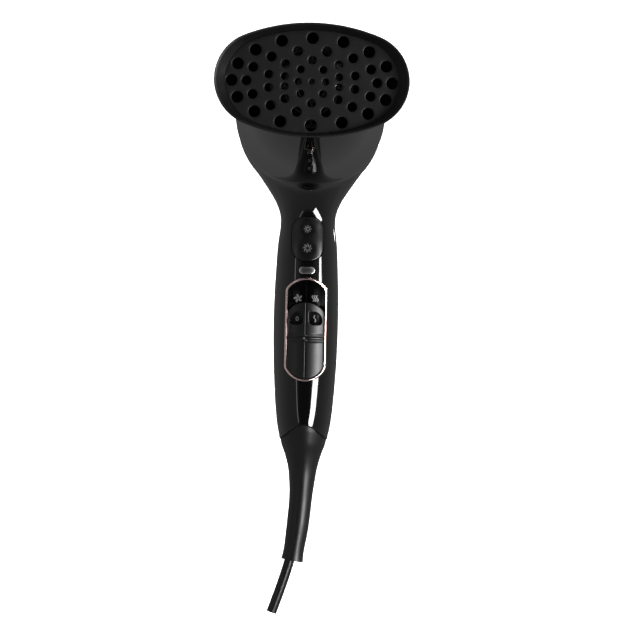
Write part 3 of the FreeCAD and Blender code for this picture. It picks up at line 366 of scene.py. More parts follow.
def filled(outer, holes, spacing, edge):
    """Triangles that fill an outline around its holes, with rows of points for rounded edges."""
    rows = ROUNDING if edge else [0.0]
    rings = [inset(outer, edge * row) for row in rows]
    rings += [inset(hole, -edge * row) for hole in holes for row in rows]
    low, high = outer.min(0), outer.max(0)
    grid = np.stack(np.meshgrid(np.arange(low[0], high[0], spacing), np.arange(low[1], high[1], spacing)), -1)
    grid = grid.reshape(-1, 2)
    grid = grid[inside(grid, outer)]
    for ring in [outer] + holes:
        grid = grid[distance_to(grid, ring) > edge + 0.45 * spacing]
        if ring is not outer:
            grid = grid[~inside(grid, ring)]
    sides, first = [], 0
    for ring in rings:
        count = len(ring)
        sides += [(first + i, first + (i + 1) % count) for i in range(count)]
        first += count
    points = np.vstack(rings + [grid])
    found = delaunay_2d_cdt([Vector(point) for point in points], sides, [], 0, 1e-5, False)
    points, faces = np.array([tuple(point) for point in found[0]]), np.array(found[2])
    middles = points[faces].mean(axis=1)
    kept = inside(middles, outer)
    for hole in holes:
        kept &= ~inside(middles, hole)
    return points, faces[kept]


def plate(name, outer, surface, thickness, spacing=0.7, edge=0.0, holes=(), height=None):
    """A piece seen from the front as an outline with holes. Its face follows a surface y(x, z), with
    rounded edges, and its back lies a thickness behind."""
    holes = list(holes)
    points, faces = filled(outer, holes, spacing, edge)
    away = distance_to(points, outer)
    for hole in holes:
        away = np.minimum(away, distance_to(points, hole))
    y = surface(points[:, 0], points[:, 1])
    back = y + thickness
    if edge:
        y = y + edge - np.sqrt(np.maximum(edge ** 2 - np.maximum(edge - away, 0) ** 2, 0))
    if height is not None:
        y = y - height(points[:, 0], points[:, 1]) * np.clip(away / max(edge, 0.3), 0, 1)
    count = len(points)
    skin = [tuple(int(i) for i in face) for face in faces]
    ends = {(a, b) for face in skin for a, b in zip(face, face[1:] + face[:1])}
    solid = skin + [tuple(i + count for i in reversed(face)) for face in skin]
    solid += [(b, a, a + count, b + count) for a, b in sorted(ends) if (b, a) not in ends]
    front = np.stack([points[:, 0], y, points[:, 1]], axis=1)
    rear = np.stack([points[:, 0], back, points[:, 1]], axis=1)
    obj = mesh_from(name, np.vstack([front, rear]), solid)
    return smooth(obj)


def smooth(obj, angle=38):
    obj.data.polygons.foreach_set("use_smooth", np.ones(len(obj.data.polygons), bool))
    obj.data.set_sharp_from_angle(angle=math.radians(angle))
    return obj


def joined(name, parts):
    """One object from several."""
    merged = bmesh.new()
    for part in parts:
        merged.from_mesh(part.data)
    mesh = bpy.data.meshes.new(name)
    merged.to_mesh(mesh)
    merged.free()
    remove(*parts)
    return smooth(new_object(name, mesh))


def round_surface(radius):
    """The front of a cylinder round the handle's centre line."""
    return lambda x, z: -np.sqrt(np.maximum(radius ** 2 - np.asarray(x) ** 2, 0))


def grip_surface(proud):
    return lambda x, z: front_of_grip(np.asarray(x), np.asarray(z), proud)


def bell(value, width):
    """1 at zero, falling smoothly to 0 at the width."""
    return 0.5 + 0.5 * np.cos(np.pi * np.clip(np.asarray(value) / width, -1, 1))


# ---- housing -------------------------------------------------------------------------------------

SCREW_SPOTS = [(-9.6, -59.0), (9.6, -59.0), (-10.4, -184.0), (10.4, -184.0)]


def raw_shell():
    """The barrel and the handle as two crossing solids, merged into even quads."""
    turns = np.radians(np.arange(0, 360, 4))
    rows = []
    for y in np.arange(NOSE_Y - 12, BACK_Y + 12.1, 4):
        r = barrel_radius(np.clip(y, NOSE_Y - 12, BACK_Y + 12))
        rows.append([(r * math.sin(t), y, r * math.cos(t)) for t in turns])
    points, faces = tube_grid(rows)
    rows = []
    for z in np.arange(-222, -17, 4.0):
        a, b = float(grip_width(z)), float(grip_depth(z))
        rows.append([(a * math.cos(t), b * math.sin(t), z) for t in turns])
    more, more_faces = tube_grid(rows)
    offset = len(points)
    points += more
    faces += [tuple(i + offset for i in face) for face in more_faces]
    obj = mesh_from("shell", points, faces)
    remesh = obj.modifiers.new("remesh", "REMESH")
    remesh.mode = "VOXEL"
    remesh.voxel_size = SHELL_GRID * MM
    return apply_modifiers(obj)


SHELL_GRID = 2.0
SEAM = 0.06
TAIL_CUT = -216.0


def settle(obj):
    """Moves every point of the raw shell exactly onto the housing's surface."""
    points = points_of(obj)
    edges = np.empty(len(obj.data.edges) * 2, int)
    obj.data.edges.foreach_get("vertices", edges)
    edges = edges.reshape(-1, 2)
    degree = np.bincount(edges.ravel(), minlength=len(points))[:, None]
    for step in range(14):
        if step < 10:
            total = np.zeros_like(points)
            np.add.at(total, edges[:, 0], points[edges[:, 1]])
            np.add.at(total, edges[:, 1], points[edges[:, 0]])
            points += 0.5 * (total / degree - points)
        field = shell_field(points)
        slope = gradient(shell_field, points)
        size = np.maximum(np.sum(slope ** 2, axis=1), 0.05)
        move = np.clip(field / size, -3, 3)[:, None] * slope
        near = np.abs(field) < 6
        points[near] -= move[near]
    set_points(obj, points)
    return obj


def trimmed(obj, plane, keep_above):
    """Cuts an open skin at a plane, given as an axis and a place, and keeps one side."""
    axis, place = plane
    normal = [0.0, 0.0, 0.0]
    normal[axis] = 1.0
    point = [0.0, 0.0, 0.0]
    point[axis] = place * MM
    skin = bmesh.new()
    skin.from_mesh(obj.data)
    bmesh.ops.bisect_plane(skin, geom=skin.verts[:] + skin.edges[:] + skin.faces[:], dist=1e-7,
                           plane_co=point, plane_no=normal,
                           clear_inner=keep_above, clear_outer=not keep_above)
    skin.to_mesh(obj.data)
    skin.free()
    return obj


def hollow(obj, planes):
    """Gives an open skin its wall, inwards along the field, with flat rims in the planes that cut it."""
    points = points_of(obj)
    inwards = -unit(gradient(shell_field, points))
    for axis, place in planes:
        rim = np.abs(points[:, axis] - place) < 1e-3
        inwards[rim, axis] = 0
    length = np.maximum(np.linalg.norm(inwards, axis=1), 0.4)
    inner = points + WALL * inwards / (length ** 2)[:, None]
    count = len(points)
    skin = [tuple(face.vertices) for face in obj.data.polygons]
    sides = {(a, b) for face in skin for a, b in zip(face, face[1:] + face[:1])}
    faces = skin + [tuple(i + count for i in reversed(face)) for face in skin]
    faces += [(b, a, a + count, b + count) for a, b in sorted(sides) if (b, a) not in sides]
    name = obj.name
    remove(obj)
    return mesh_from(name, np.vstack([points, inner]), faces)


def arch_cutter():
    """Everything under the arched end of the handle."""
    half = 85.0
    curve = arc((0, ARCH_Z + ARCH_R), ARCH_R, 180, 360, 60)
    outline = np.vstack([[(-60, ARCH_Z + ARCH_R)], curve, [(60, ARCH_Z + ARCH_R), (60, -260), (-60, -260)]])
    return prism(outline, 0, -half, half)


def housing():
    """The front and the rear half of the housing, with every opening cut."""
    skin = settle(raw_shell())
    ends = [(1, NOSE_Y, True), (1, BACK_Y, False), (2, TAIL_CUT, True)]
    for axis, place, above in ends:
        trimmed(skin, (axis, place), above)
    halves = []
    for name, seam, above in (("housing_front_shell", -SEAM, False), ("housing_rear_shell", SEAM, True)):
        half = new_object(name, skin.data.copy())
        trimmed(half, (1, seam), above)
        halves.append(hollow(half, [(1, seam)] + [end[:2] for end in ends]))
    remove(skin)
    front, rear = halves
    carve(front, prism(field_outline(), 1, -40, -3))
    carve(front, prism(rounded_outline(ROCKER_W, ROCKER_BOTTOM, ROCKER_TOP, ROCKER_CORNER_R), 1, -40, -3))
    carve(front, prism(rounded_outline(BADGE_W + 0.05, BADGE_Z - BADGE_TALL / 2 - 0.05,
                                       BADGE_Z + BADGE_TALL / 2 + 0.05, BADGE_TALL / 2), 1, -40, -3))
    for x, z in SCREW_SPOTS:
        carve(rear, prism(arc((x, z), 3.1, 0, 352.5, 48), 1, 7, 60))
    for half in halves:
        carve(half, arch_cutter())
        smooth_by_field(half)
    return halves


def smooth_by_field(obj):
    """Sets the normals of the outer and the inner skin from the shape itself, so that reflections run
    clean over it. Cut faces keep their own flat normals."""
    mesh = obj.data
    points = points_of(obj)
    normals = unit(gradient(shell_field, points))
    centres = np.array([face.center for face in mesh.polygons]) / MM
    facing = np.array([face.normal for face in mesh.polygons])
    field = shell_field(centres)
    along = np.sum(unit(gradient(shell_field, centres)) * facing, axis=1)
    custom = np.empty((len(mesh.loops), 3))
    for index, face in enumerate(mesh.polygons):
        outside = field[index] > -WALL / 2 and along[index] > 0.9
        inside = field[index] <= -WALL / 2 and along[index] < -0.9
        for loop in face.loop_indices:
            vertex = mesh.loops[loop].vertex_index
            custom[loop] = normals[vertex] if outside else -normals[vertex] if inside else facing[index]
    mesh.polygons.foreach_set("use_smooth", np.ones(len(mesh.polygons), bool))
    mesh.normals_split_custom_set([tuple(n) for n in custom])


# ---- switches, badge and printed marks -----------------------------------------------------------

CAP_R, PANEL_R, CAP_GAP, RING_BAR, CAP_TRAVEL = 20.7, 17.4, 0.3, 1.5, 13.0
WINDOW_TOP, WINDOW_BOTTOM, RIDGE_Z = -126.0, -134.3, -143.0
ROCKER_DISHES = [(-73.6, 5.2), (-86.0, 6.2)]


def half_of(outline, side, gap):
    """The part of an outline on one side of a gap about x = 0."""
    keep = []
    count = len(outline)
    for i in range(count):
        point, following = outline[i], outline[(i + 1) % count]
        if point[0] * side >= gap:
            keep.append(point)
        if (point[0] * side >= gap) != (following[0] * side >= gap):
            share = (gap * side - point[0]) / (following[0] - point[0])
            keep.append(point + share * (following - point))
    return np.array(keep)


def window_outline(side):
    """Window near a cap's top: round below, with its outer upper corner cut off in an arc."""
    near, far = 1.9, 10.4
    loop = [arc((far - 2.4, WINDOW_BOTTOM + 2.4), 2.4, 270, 360, 10),
            arc((far - 6.2, WINDOW_TOP - 6.2), 6.2, 0, 74, 16),
            arc((near + 0.8, WINDOW_TOP - 0.8), 0.8, 90, 180, 6),
            arc((near + 2.4, WINDOW_BOTTOM + 2.4), 2.4, 180, 270, 10)]
    loop = tidy_loop(np.concatenate(loop))
    return loop if side > 0 else (loop * [-1, 1])[::-1]


def cap_relief(x, z):
    """Thumb ridge with a groove on each side of it, fading out in a notch at the middle."""
    ridge = 0.9 * bell(z - RIDGE_Z, 0.9) * np.clip((np.abs(x) - 0.6) / 0.8, 0, 1)
    grooves = 0.45 * (bell(z - RIDGE_Z - 1.5, 1.4) + bell(z - RIDGE_Z + 1.5, 1.4))
    return ridge - grooves


def cap(name, side):
    whole = spread(field_outline(RING_BAR + CAP_GAP, CAP_TRAVEL + CAP_GAP + 0.6), 0.5)
    outer = spread(half_of(whole, side, CAP_GAP / 2), 0.5)
    window = spread(window_outline(side), 0.5)
    return plate(name, outer, round_surface(CAP_R), 2.8, 0.55, 0.5, [window], cap_relief)


def rocker_relief(x, z):
    """Two finger dishes and a face that falls away at its top."""
    depth = sum(1.0 * bell(np.hypot(x, z - middle), radius) for middle, radius in ROCKER_DISHES)
    return -depth - 0.9 * np.clip((z - ROCKER_TOP + 6.5) / 6.5, 0, 1) ** 2


def rocker():
    gap = 0.45
    outline = rounded_outline(ROCKER_W - gap, ROCKER_BOTTOM + gap, ROCKER_TOP - gap, ROCKER_CORNER_R - gap)
    return plate("boost_rocker_key", spread(outline, 0.5), grip_surface(0.3), 2.4, 0.6, 0.6, (),
                 rocker_relief)


def trim_ring():
    outer = spread(field_outline(0.05), 0.5)
    inner = spread(field_outline(RING_BAR), 0.5)
    return plate("trim_ring_bar", outer, grip_surface(0.5), 2.4, 0.9, 0.7, [inner])


def badge():
    low, high = BADGE_Z - BADGE_TALL / 2, BADGE_Z + BADGE_TALL / 2
    outline = rounded_outline(BADGE_W, low, high, BADGE_TALL / 2 - 0.01)
    return plate("badge_pill", spread(outline, 0.35), grip_surface(0.25), 0.9, 0.5, 0.3)


def turned_about(outline, centre, angle):
    c, s = math.cos(math.radians(angle)), math.sin(math.radians(angle))
    return np.asarray(outline) @ np.array([[c, s], [-s, c]]) + centre


def marks(name, outlines, surface):
    """Thin printed marks on a surface. An outline may come with a hole, as a pair."""
    parts = []
    for index, outline in enumerate(outlines):
        outer, holes = outline if isinstance(outline, tuple) else (outline, ())
        parts.append(plate("%s_%d" % (name, index), np.asarray(outer), surface, 0.06, 0.5, 0.0, holes))
    return joined(name, parts)


def fan_blades(centre, count, inner, outer, sweep, width):
    """Curved blades round a centre."""
    blades = []
    for step in range(count):
        spine = [((inner + (outer - inner) * t) * np.array([math.cos(math.radians(sweep * t)),
                                                            math.sin(math.radians(sweep * t))]), t)
                 for t in np.linspace(0, 1, 7)]
        left, right = [], []
        for (point, t), (following, _) in zip(spine, spine[1:] + spine[-1:]):
            side = (following - point) if t < 1 else (point - spine[-2][0])
            side = side / np.linalg.norm(side)
            reach = width * (0.45 + 0.55 * math.sin(math.pi * (0.15 + 0.7 * t)))
            left.append(point + reach * np.array([-side[1], side[0]]) / 2)
            right.append(point - reach * np.array([-side[1], side[0]]) / 2)
        blades.append(turned_about(right + left[::-1], centre, 360 * step / count))
    return blades


def ring_mark(centre, outer, inner, tall=1.0):
    def oval(radius):
        return arc((0, 0), radius, 0, 345, 24) * [1, tall] + centre
    return oval(outer), [oval(inner)]


def wave_mark(centre, tall, width):
    """An upright wave that stands for warm air."""
    spine = [(0.55 * math.sin(2 * math.pi * t), tall * (t - 0.5)) for t in np.linspace(0, 1, 21)]
    right = [(x + width / 2, z) for x, z in spine]
    left = [(x - width / 2, z) for x, z in spine[::-1]]
    return np.array(right + left) + centre


def printed_marks():
    """(piece, body) pairs of every printed mark."""
    panel, over_rocker = round_surface(PANEL_R + 0.05), grip_surface(0.34)

    def rocker_face(x, z):
        return over_rocker(x, z) - rocker_relief(x, z)

    gear = [ring_mark((0, -73.5), 1.35, 0.7)]
    gear += [turned_about([(-0.34, 1.6), (0.34, 1.6), (0.26, 2.35), (-0.26, 2.35)][::-1], (0, -73.5), 45 * k)
             for k in range(8)]
    swirl = fan_blades((0, -85.8), 8, 0.9, 2.8, 48, 0.6)
    stop = marks("mark_stop", [ring_mark((-5.6, -130.6), 1.0, 0.55, 1.45)], panel)
    warm = marks("mark_warm", [wave_mark((5.6, -130.4), 4.4, 0.75)], panel)
    fan = marks("mark_fan", fan_blades((-5.3, -117.6), 5, 0.5, 2.6, 40, 1.1), panel)
    heat = marks("mark_heat", [wave_mark((x, -117.6), 4.0, 0.8) for x in (4.3, 5.6, 6.9)], panel)
    badge_dots = [ring_mark((x, BADGE_Z), 0.85, 0.45, 1.15) for x in (-2.55, -0.85, 0.85, 2.55)]
    dots = marks("badge_rings", badge_dots, grip_surface(0.29))
    pairs = [(marks("mark_turbo", gear, rocker_face), "rocker"),
             (marks("mark_cool", swirl, rocker_face), "rocker")]
    pairs += [(mark, "housing") for mark in (stop, warm, fan, heat)]
    for mark, _ in pairs:
        dress(mark, "print_white")
    return pairs + [(dress(dots, "print_dark"), "housing")]


# ---- diffuser ------------------------------------------------------------------------------------

# place along the barrel, half width, half height and end radius of each oval
OVALS = [(-150.0, 29.0, 27.6, 27.25), (-155.0, 38.5, 28.8, 26.4), (-160.0, 46.2, 29.9, 26.0),
         (-165.0, 50.4, 30.6, 26.0), (-172.0, 55.2, 32.5, 27.0)]
COLLAR_R, COLLAR_FRONT, COLLAR_BACK, NOZZLE_BORE = 27.0, -147.0, -130.6, 24.68
SHELL_WALL = 1.2
HOLE_RINGS = [(0, 0, 1, 0, 1.6), (7.8, 7.8, 2, 0, 1.9), (16.6, 7.4, 8, 22.5, 2.1), (25.6, 12.2, 10, 18, 2.4),
              (36.9, 17.6, 14, 0, 2.75), (45.3, 24.7, 16, 0, 3.3)]


def oval(w, h, r, count=40):
    """Four arcs: ends of radius r that run into flatter arcs above and below."""
    flat = ((w - r) ** 2 + h ** 2 - r ** 2) / (2 * (h - r))
    turn = math.degrees(math.atan2(flat - h, w - r))
    loop = [arc((w - r, 0), r, -turn, turn, count), arc((0, h - flat), flat, turn, 180 - turn, count),
            arc((r - w, 0), r, 180 - turn, 180 + turn, count),
            arc((0, flat - h), flat, 180 + turn, 360 - turn, count)]
    return tidy_loop(np.concatenate(loop))


def oval_row(y, w, h, r, inset_by=0.0):
    loop = oval(w - inset_by, h - inset_by, r - inset_by)
    return [(x, y, z) for x, z in loop]


def diffuser_shell():
    """The bowl: outside from the collar to the rim, over the lip, and back down the inside."""
    table = np.array(OVALS[::-1])
    curves = [(table[:, 0], table[:, k], natural_spline(table[:, 0], table[:, k])) for k in (1, 2, 3)]

    def at(y, inset_by):
        return oval_row(y, *[float(spline_at(*curve, y)) for curve in curves], inset_by)

    def collar(y, radius):
        return oval_row(y, radius + 0.02, radius, radius - 0.005)

    places = np.linspace(OVALS[0][0], OVALS[-1][0] + 0.6, 23)
    rows = [collar(COLLAR_BACK, NOZZLE_BORE), collar(COLLAR_BACK, COLLAR_R - 0.4),
            collar(COLLAR_BACK - 0.4, COLLAR_R), collar(COLLAR_FRONT, COLLAR_R)]
    rows += [at(y, 0) for y in places]
    for turn in (30, 60, 90, 120, 150, 180):
        reach = SHELL_WALL / 2
        sine, cosine = math.sin(math.radians(turn)), math.cos(math.radians(turn))
        rows.append(at(places[-1] - reach * sine, reach * (1 - cosine)))
    rows += [at(y, SHELL_WALL) for y in places[::-1]]
    rows += [collar(COLLAR_FRONT, NOZZLE_BORE), collar(COLLAR_BACK, NOZZLE_BORE)]
    points, faces = tube_grid(rows, False)
    return smooth(mesh_from("diffuser_bowl", points, faces), 50)


def diffuser_plate():
    w, h, r = OVALS[3][1:]
    outer = spread(oval(w - SHELL_WALL, h - SHELL_WALL, r - SHELL_WALL), 1.0)
    holes = []
    for half_width, half_height, count, first, radius in HOLE_RINGS:
        for turn in np.radians(first + 360.0 / count * np.arange(count)):
            centre = (half_width * math.cos(turn), half_height * math.sin(turn))
            holes.append(arc(centre, radius, 0, 345, 24))
    face = OVALS[3][0]
    return plate("diffuser_face", outer, lambda x, z: np.full(len(x), face), 2.0, 1.6, 0.45, holes)


# ---- cord ----------------------------------------------------------------------------------------

CORD_R = 3.3
CORD_POINTS = np.array([(0, -176), (0, -197), (0, -218), (-1.76, -256), (-7.6, -286.5), (-18.1, -318.7)],
                       float)


def power_cord():
    """Round mains cord along its centre line, cut off square at its lower end."""
    length = np.concatenate([[0], np.cumsum(np.linalg.norm(np.diff(CORD_POINTS, axis=0), axis=1))])
    bends = [natural_spline(length, CORD_POINTS[:, k]) for k in (0, 1)]
    places = np.linspace(0, length[-1], 90)
    spine = np.stack([spline_at(length, CORD_POINTS[:, k], bends[k], places) for k in (0, 1)], axis=1)
    along = np.gradient(spine, axis=0)
    along /= np.linalg.norm(along, axis=1)[:, None]
    radii = np.full(len(spine), CORD_R)
    spine = np.vstack([spine, spine[-1:]])
    along = np.vstack([along, along[-1:]])
    radii = np.append(radii, CORD_R - 0.5)
    turns = np.radians(np.arange(0, 360, 15))
    rows = []
    for (x, z), (dx, dz), radius in zip(spine, along, radii):
        rows.append([(x - dz * radius * math.cos(t), radius * math.sin(t), z + dx * radius * math.cos(t))
                     for t in turns])
    points, faces = tube_grid(rows[::-1])
    return smooth(mesh_from("mains_cord", points, faces), 50)


# ---- materials -----------------------------------------------------------------------------------


class Nodes:
    """A small helper to wire a material's nodes."""

    def __init__(self, name):
        self.material = bpy.data.materials.new(name)
        self.material.use_nodes = True
        self.tree = self.material.node_tree
        self.shader = self.tree.nodes["Principled BSDF"]

    def add(self, kind, **values):
        node = self.tree.nodes.new(kind)
        for key, value in values.items():
            if key in node.inputs:
                node.inputs[key].default_value = value
            else:
                setattr(node, key, value)
        return node

    def link(self, source, target):
        self.tree.links.new(source, target)

    def place(self):
        """Object coordinates, which are in metres in the CAD frame."""
        return self.add("ShaderNodeTexCoord").outputs["Object"]

    def noise(self, scale, detail=3.0, stretch=None):
        source = self.place()
        if stretch is not None:
            mapping = self.add("ShaderNodeMapping")
            mapping.inputs["Scale"].default_value = stretch
            self.link(source, mapping.inputs["Vector"])
            source = mapping.outputs["Vector"]
        noise = self.add("ShaderNodeTexNoise", Scale=scale, Detail=detail)
        self.link(source, noise.inputs["Vector"])
        return noise.outputs["Fac"]

    def ramp(self, source, low, high):
        """Maps 0..1 to the range low..high."""
        node = self.add("ShaderNodeMapRange")
        node.inputs["To Min"].default_value = low
        node.inputs["To Max"].default_value = high
        self.link(source, node.inputs["Value"])
        return node.outputs["Result"]

    def mix(self, source, first, second):
        node = self.add("ShaderNodeMix", data_type="RGBA")
        node.inputs["A"].default_value = (*first, 1)
        node.inputs["B"].default_value = (*second, 1)
        self.link(source, node.inputs["Factor"])
        return node.outputs["Result"]

    def bump(self, source, height, strength=1.0):
        """A bump whose height is in millimetres."""
        node = self.add("ShaderNodeBump", Strength=strength, Distance=height * MM)
        self.link(source, node.inputs["Height"])
        self.link(node.outputs["Normal"], self.shader.inputs["Normal"])


def plastic(name, dark, light, rough, grain, depth, coat=0.0, blotch=60.0, shine=0.5):
    """Moulded plastic: faint colour and gloss variation over a fine surface grain."""
    nodes = Nodes(name)
    nodes.link(nodes.mix(nodes.noise(blotch), dark, light), nodes.shader.inputs["Base Color"])
    nodes.link(nodes.ramp(nodes.noise(blotch * 2.3, 5), *rough), nodes.shader.inputs["Roughness"])
    nodes.shader.inputs["Specular IOR Level"].default_value = shine
    nodes.shader.inputs["Coat Weight"].default_value = coat
    nodes.shader.inputs["Coat Roughness"].default_value = 0.03
    nodes.bump(nodes.noise(grain, 4), depth)
    return nodes.material


def metal(name, dark, light, rough, grain, depth, stretch=None):
    """Metal or plating, with a fine drawn or turned grain."""
    nodes = Nodes(name)
    nodes.link(nodes.mix(nodes.noise(90), dark, light), nodes.shader.inputs["Base Color"])
    nodes.link(nodes.ramp(nodes.noise(240, 4), *rough), nodes.shader.inputs["Roughness"])
    nodes.shader.inputs["Metallic"].default_value = 1
    nodes.bump(nodes.noise(grain, 3, stretch), depth)
    return nodes.material


def grey(value):
    return (value, value, value * 1.03)


def make_materials():
    made = {
        "gloss_black": plastic("gloss_black", grey(0.006), grey(0.009), (0.05, 0.09), 900, 0.0015, 0.4),
        "panel_black": plastic("panel_black", grey(0.006), grey(0.009), (0.12, 0.18), 900, 0.002),
        "cap_black": plastic("cap_black", grey(0.017), grey(0.023), (0.33, 0.4), 1600, 0.004),
        "rocker_satin": plastic("rocker_satin", grey(0.026), grey(0.031), (0.22, 0.27), 2000, 0.004),
        "diffuser_black": plastic("diffuser_black", grey(0.014), grey(0.019), (0.42, 0.52), 2600, 0.012),
        # painted shade: the inside of the bowl, seen through the holes, is coloured darker than
        # diffuser_black and has no shine
        "bowl_interior_shade": plastic("bowl_interior_shade", grey(0.01), grey(0.014), (0.85, 0.95), 2600, 0.012, shine=0),
        "nozzle_black": plastic("nozzle_black", grey(0.16), grey(0.22), (0.3, 0.4), 2200, 0.01),
        "inner_plastic": plastic("inner_plastic", grey(0.09), grey(0.13), (0.4, 0.5), 1500, 0.01),
        "boot_rubber": plastic("boot_rubber", grey(0.012), grey(0.018), (0.34, 0.44), 2400, 0.012),
        "cord_rubber": plastic("cord_rubber", grey(0.011), grey(0.016), (0.3, 0.4), 2400, 0.01),
        "switch_case": plastic("switch_case", grey(0.04), grey(0.06), (0.4, 0.5), 1500, 0.01),
        "core_blue_brown": plastic("core_blue_brown", (0.02, 0.06, 0.3), (0.2, 0.07, 0.03), (0.3, 0.4),
                                   900, 0.01),
        "carbon": plastic("carbon", grey(0.01), grey(0.02), (0.5, 0.65), 2600, 0.01),
        "mica": plastic("mica", (0.42, 0.36, 0.26), (0.62, 0.56, 0.44), (0.3, 0.5), 700, 0.03, blotch=220),
        "board_green": plastic("board_green", (0.01, 0.09, 0.03), (0.02, 0.14, 0.05), (0.25, 0.35),
                               1500, 0.01),
        "rose_gold": metal("rose_gold", (0.93, 0.68, 0.65), (0.97, 0.78, 0.75), (0.12, 0.2), 1600, 0.002),
        "silver": metal("silver", grey(0.68), grey(0.8), (0.18, 0.28), 1600, 0.003),
        "steel": metal("steel", grey(0.45), grey(0.6), (0.22, 0.34), 1800, 0.004, (1, 0.1, 1)),
        "lamination": metal("lamination", grey(0.25), grey(0.36), (0.35, 0.5), 1800, 0.02, (0.05, 1, 0.05)),
        "copper": metal("copper", (0.3, 0.14, 0.08), (0.42, 0.2, 0.12), (0.25, 0.4), 1600, 0.03, (1, 0.2, 1)),
        "brass": metal("brass", (0.4, 0.32, 0.18), (0.52, 0.42, 0.24), (0.2, 0.35), 1600, 0.004),
        "heating_wire": metal("heating_wire", grey(0.3), (0.45, 0.38, 0.32), (0.35, 0.5), 1400, 0.01),
        "mesh_steel": metal("mesh_steel", grey(0.35), grey(0.5), (0.3, 0.45), 2000, 0.006),
        "print_dark": plastic("print_dark", grey(0.02), grey(0.03), (0.3, 0.4), 2600, 0.004),
        "print_white": plastic("print_white", (0.72, 0.72, 0.74), (0.85, 0.85, 0.86), (0.35, 0.5),
                               2600, 0.004),
    }
    return made


def flatten_shine(material, factor):
    """Bends the surface's normals towards the front, as on a panel that is flatter than its depth shows."""
    tree = material.node_tree
    geometry = tree.nodes.new("ShaderNodeNewGeometry")
    scale = tree.nodes.new("ShaderNodeVectorMath")
    scale.operation = "MULTIPLY"
    scale.inputs[1].default_value = (factor, 1, 1)
    length = tree.nodes.new("ShaderNodeVectorMath")
    length.operation = "NORMALIZE"
    tree.links.new(geometry.outputs["Normal"], scale.inputs[0])
    tree.links.new(scale.outputs["Vector"], length.inputs[0])
    bump = next(node for node in tree.nodes if node.type == "BUMP")
    tree.links.new(length.outputs["Vector"], bump.inputs["Normal"])


MATERIALS = make_materials()
flatten_shine(MATERIALS["panel_black"], 0.42)


def dress(obj, slot, finish=None):
    """Gives a piece its material: that of its finish if one is given, else that of its slot."""
    obj.data.materials.clear()
    obj.data.materials.append(MATERIALS[finish or slot])
    return obj


def dress_cad_nodes():
    """Every CAD node gets the material of its slot, and a weld of points that coincide."""
    slots = {entry["node"]: entry["material_slot"] for entry in frame["record"]["subparts"]}
    for name, obj in frame["nodes"].items():
        obj.data.materials.clear()
        obj.data.materials.append(MATERIALS[slots[name]])
        weld = obj.modifiers.new("weld", "WELD")
        weld.merge_threshold = 1e-6


# ---- studio --------------------------------------------------------------------------------------

VIEW_DISTANCE = 1300.0
VIEW_TARGET = (4.15, 0.0, -126.1)
VIEW_AZIMUTH, VIEW_ELEVATION, VIEW_ROLL = -0.33, -1.36, 1.24
LENS = 116.4


def camera():
    data = bpy.data.cameras.new("camera")
    data.lens = LENS
    data.sensor_width = 36
    data.clip_start, data.clip_end = 0.05, 50
    obj = new_object("camera", data)
    a, e = math.radians(VIEW_AZIMUTH), math.radians(VIEW_ELEVATION)
    back = Vector((math.sin(a) * math.cos(e), -math.cos(a) * math.cos(e), math.sin(e)))
    turn = back.to_track_quat("Z", "Y").to_matrix().to_4x4()
    roll = Matrix.Rotation(math.radians(VIEW_ROLL), 4, "Z")
    obj.matrix_world = Matrix.Translation((Vector(VIEW_TARGET) + back * VIEW_DISTANCE) * MM) @ turn @ roll
    bpy.context.scene.camera = obj


def soft_box(name, place, target, width, height, power, colour=(1, 1, 1)):
    data = bpy.data.lights.new(name, "AREA")
    data.shape = "RECTANGLE"
    data.size, data.size_y = width, height
    data.energy = power
    data.color = colour
    obj = new_object(name, data)
    aim = (Vector(target) - Vector(place)).to_track_quat("-Z", "Z")
    obj.matrix_world = Matrix.Translation(place) @ aim.to_matrix().to_4x4()
    return obj


# Brightness of the room in reflections, by how far a direction points away from the camera: +1 is
# straight away from it and -1 straight towards it.
ROOM = [(-1.0, 0.04), (-0.93, 0.05), (-0.84, 0.2), (-0.5, 0.22), (0.0, 0.28), (0.5, 0.27), (0.66, 0.2),
        (0.78, 0.17), (0.9, 0.15), (1.0, 0.06)]


def dark_stand(tree, split):
    """Narrow dark upright behind and below the dryer, seen only in reflections: 0.2 on it, 1 beside it."""
    def math_node(operation, first, second):
        node = tree.nodes.new("ShaderNodeMath")
        node.operation = operation
        for place, value in enumerate((first, second)):
            if isinstance(value, float):
                node.inputs[place].default_value = value
            else:
                tree.links.new(value, node.inputs[place])
        return node.outputs[0]

    def ramped(value, low, high):
        span = tree.nodes.new("ShaderNodeMapRange")
        span.inputs["From Min"].default_value, span.inputs["From Max"].default_value = low, high
        span.inputs["To Min"].default_value = 0.2
        tree.links.new(value, span.inputs["Value"])
        return span.outputs["Result"]

    sideways = math_node("ABSOLUTE", split.outputs["X"], 0.0)
    beside = math_node("ADD", sideways, math_node("MULTIPLY", split.outputs["Z"], 0.23))
    return math_node("MAXIMUM", ramped(beside, -0.004, 0.008), ramped(split.outputs["Y"], 0.5, 0.4))


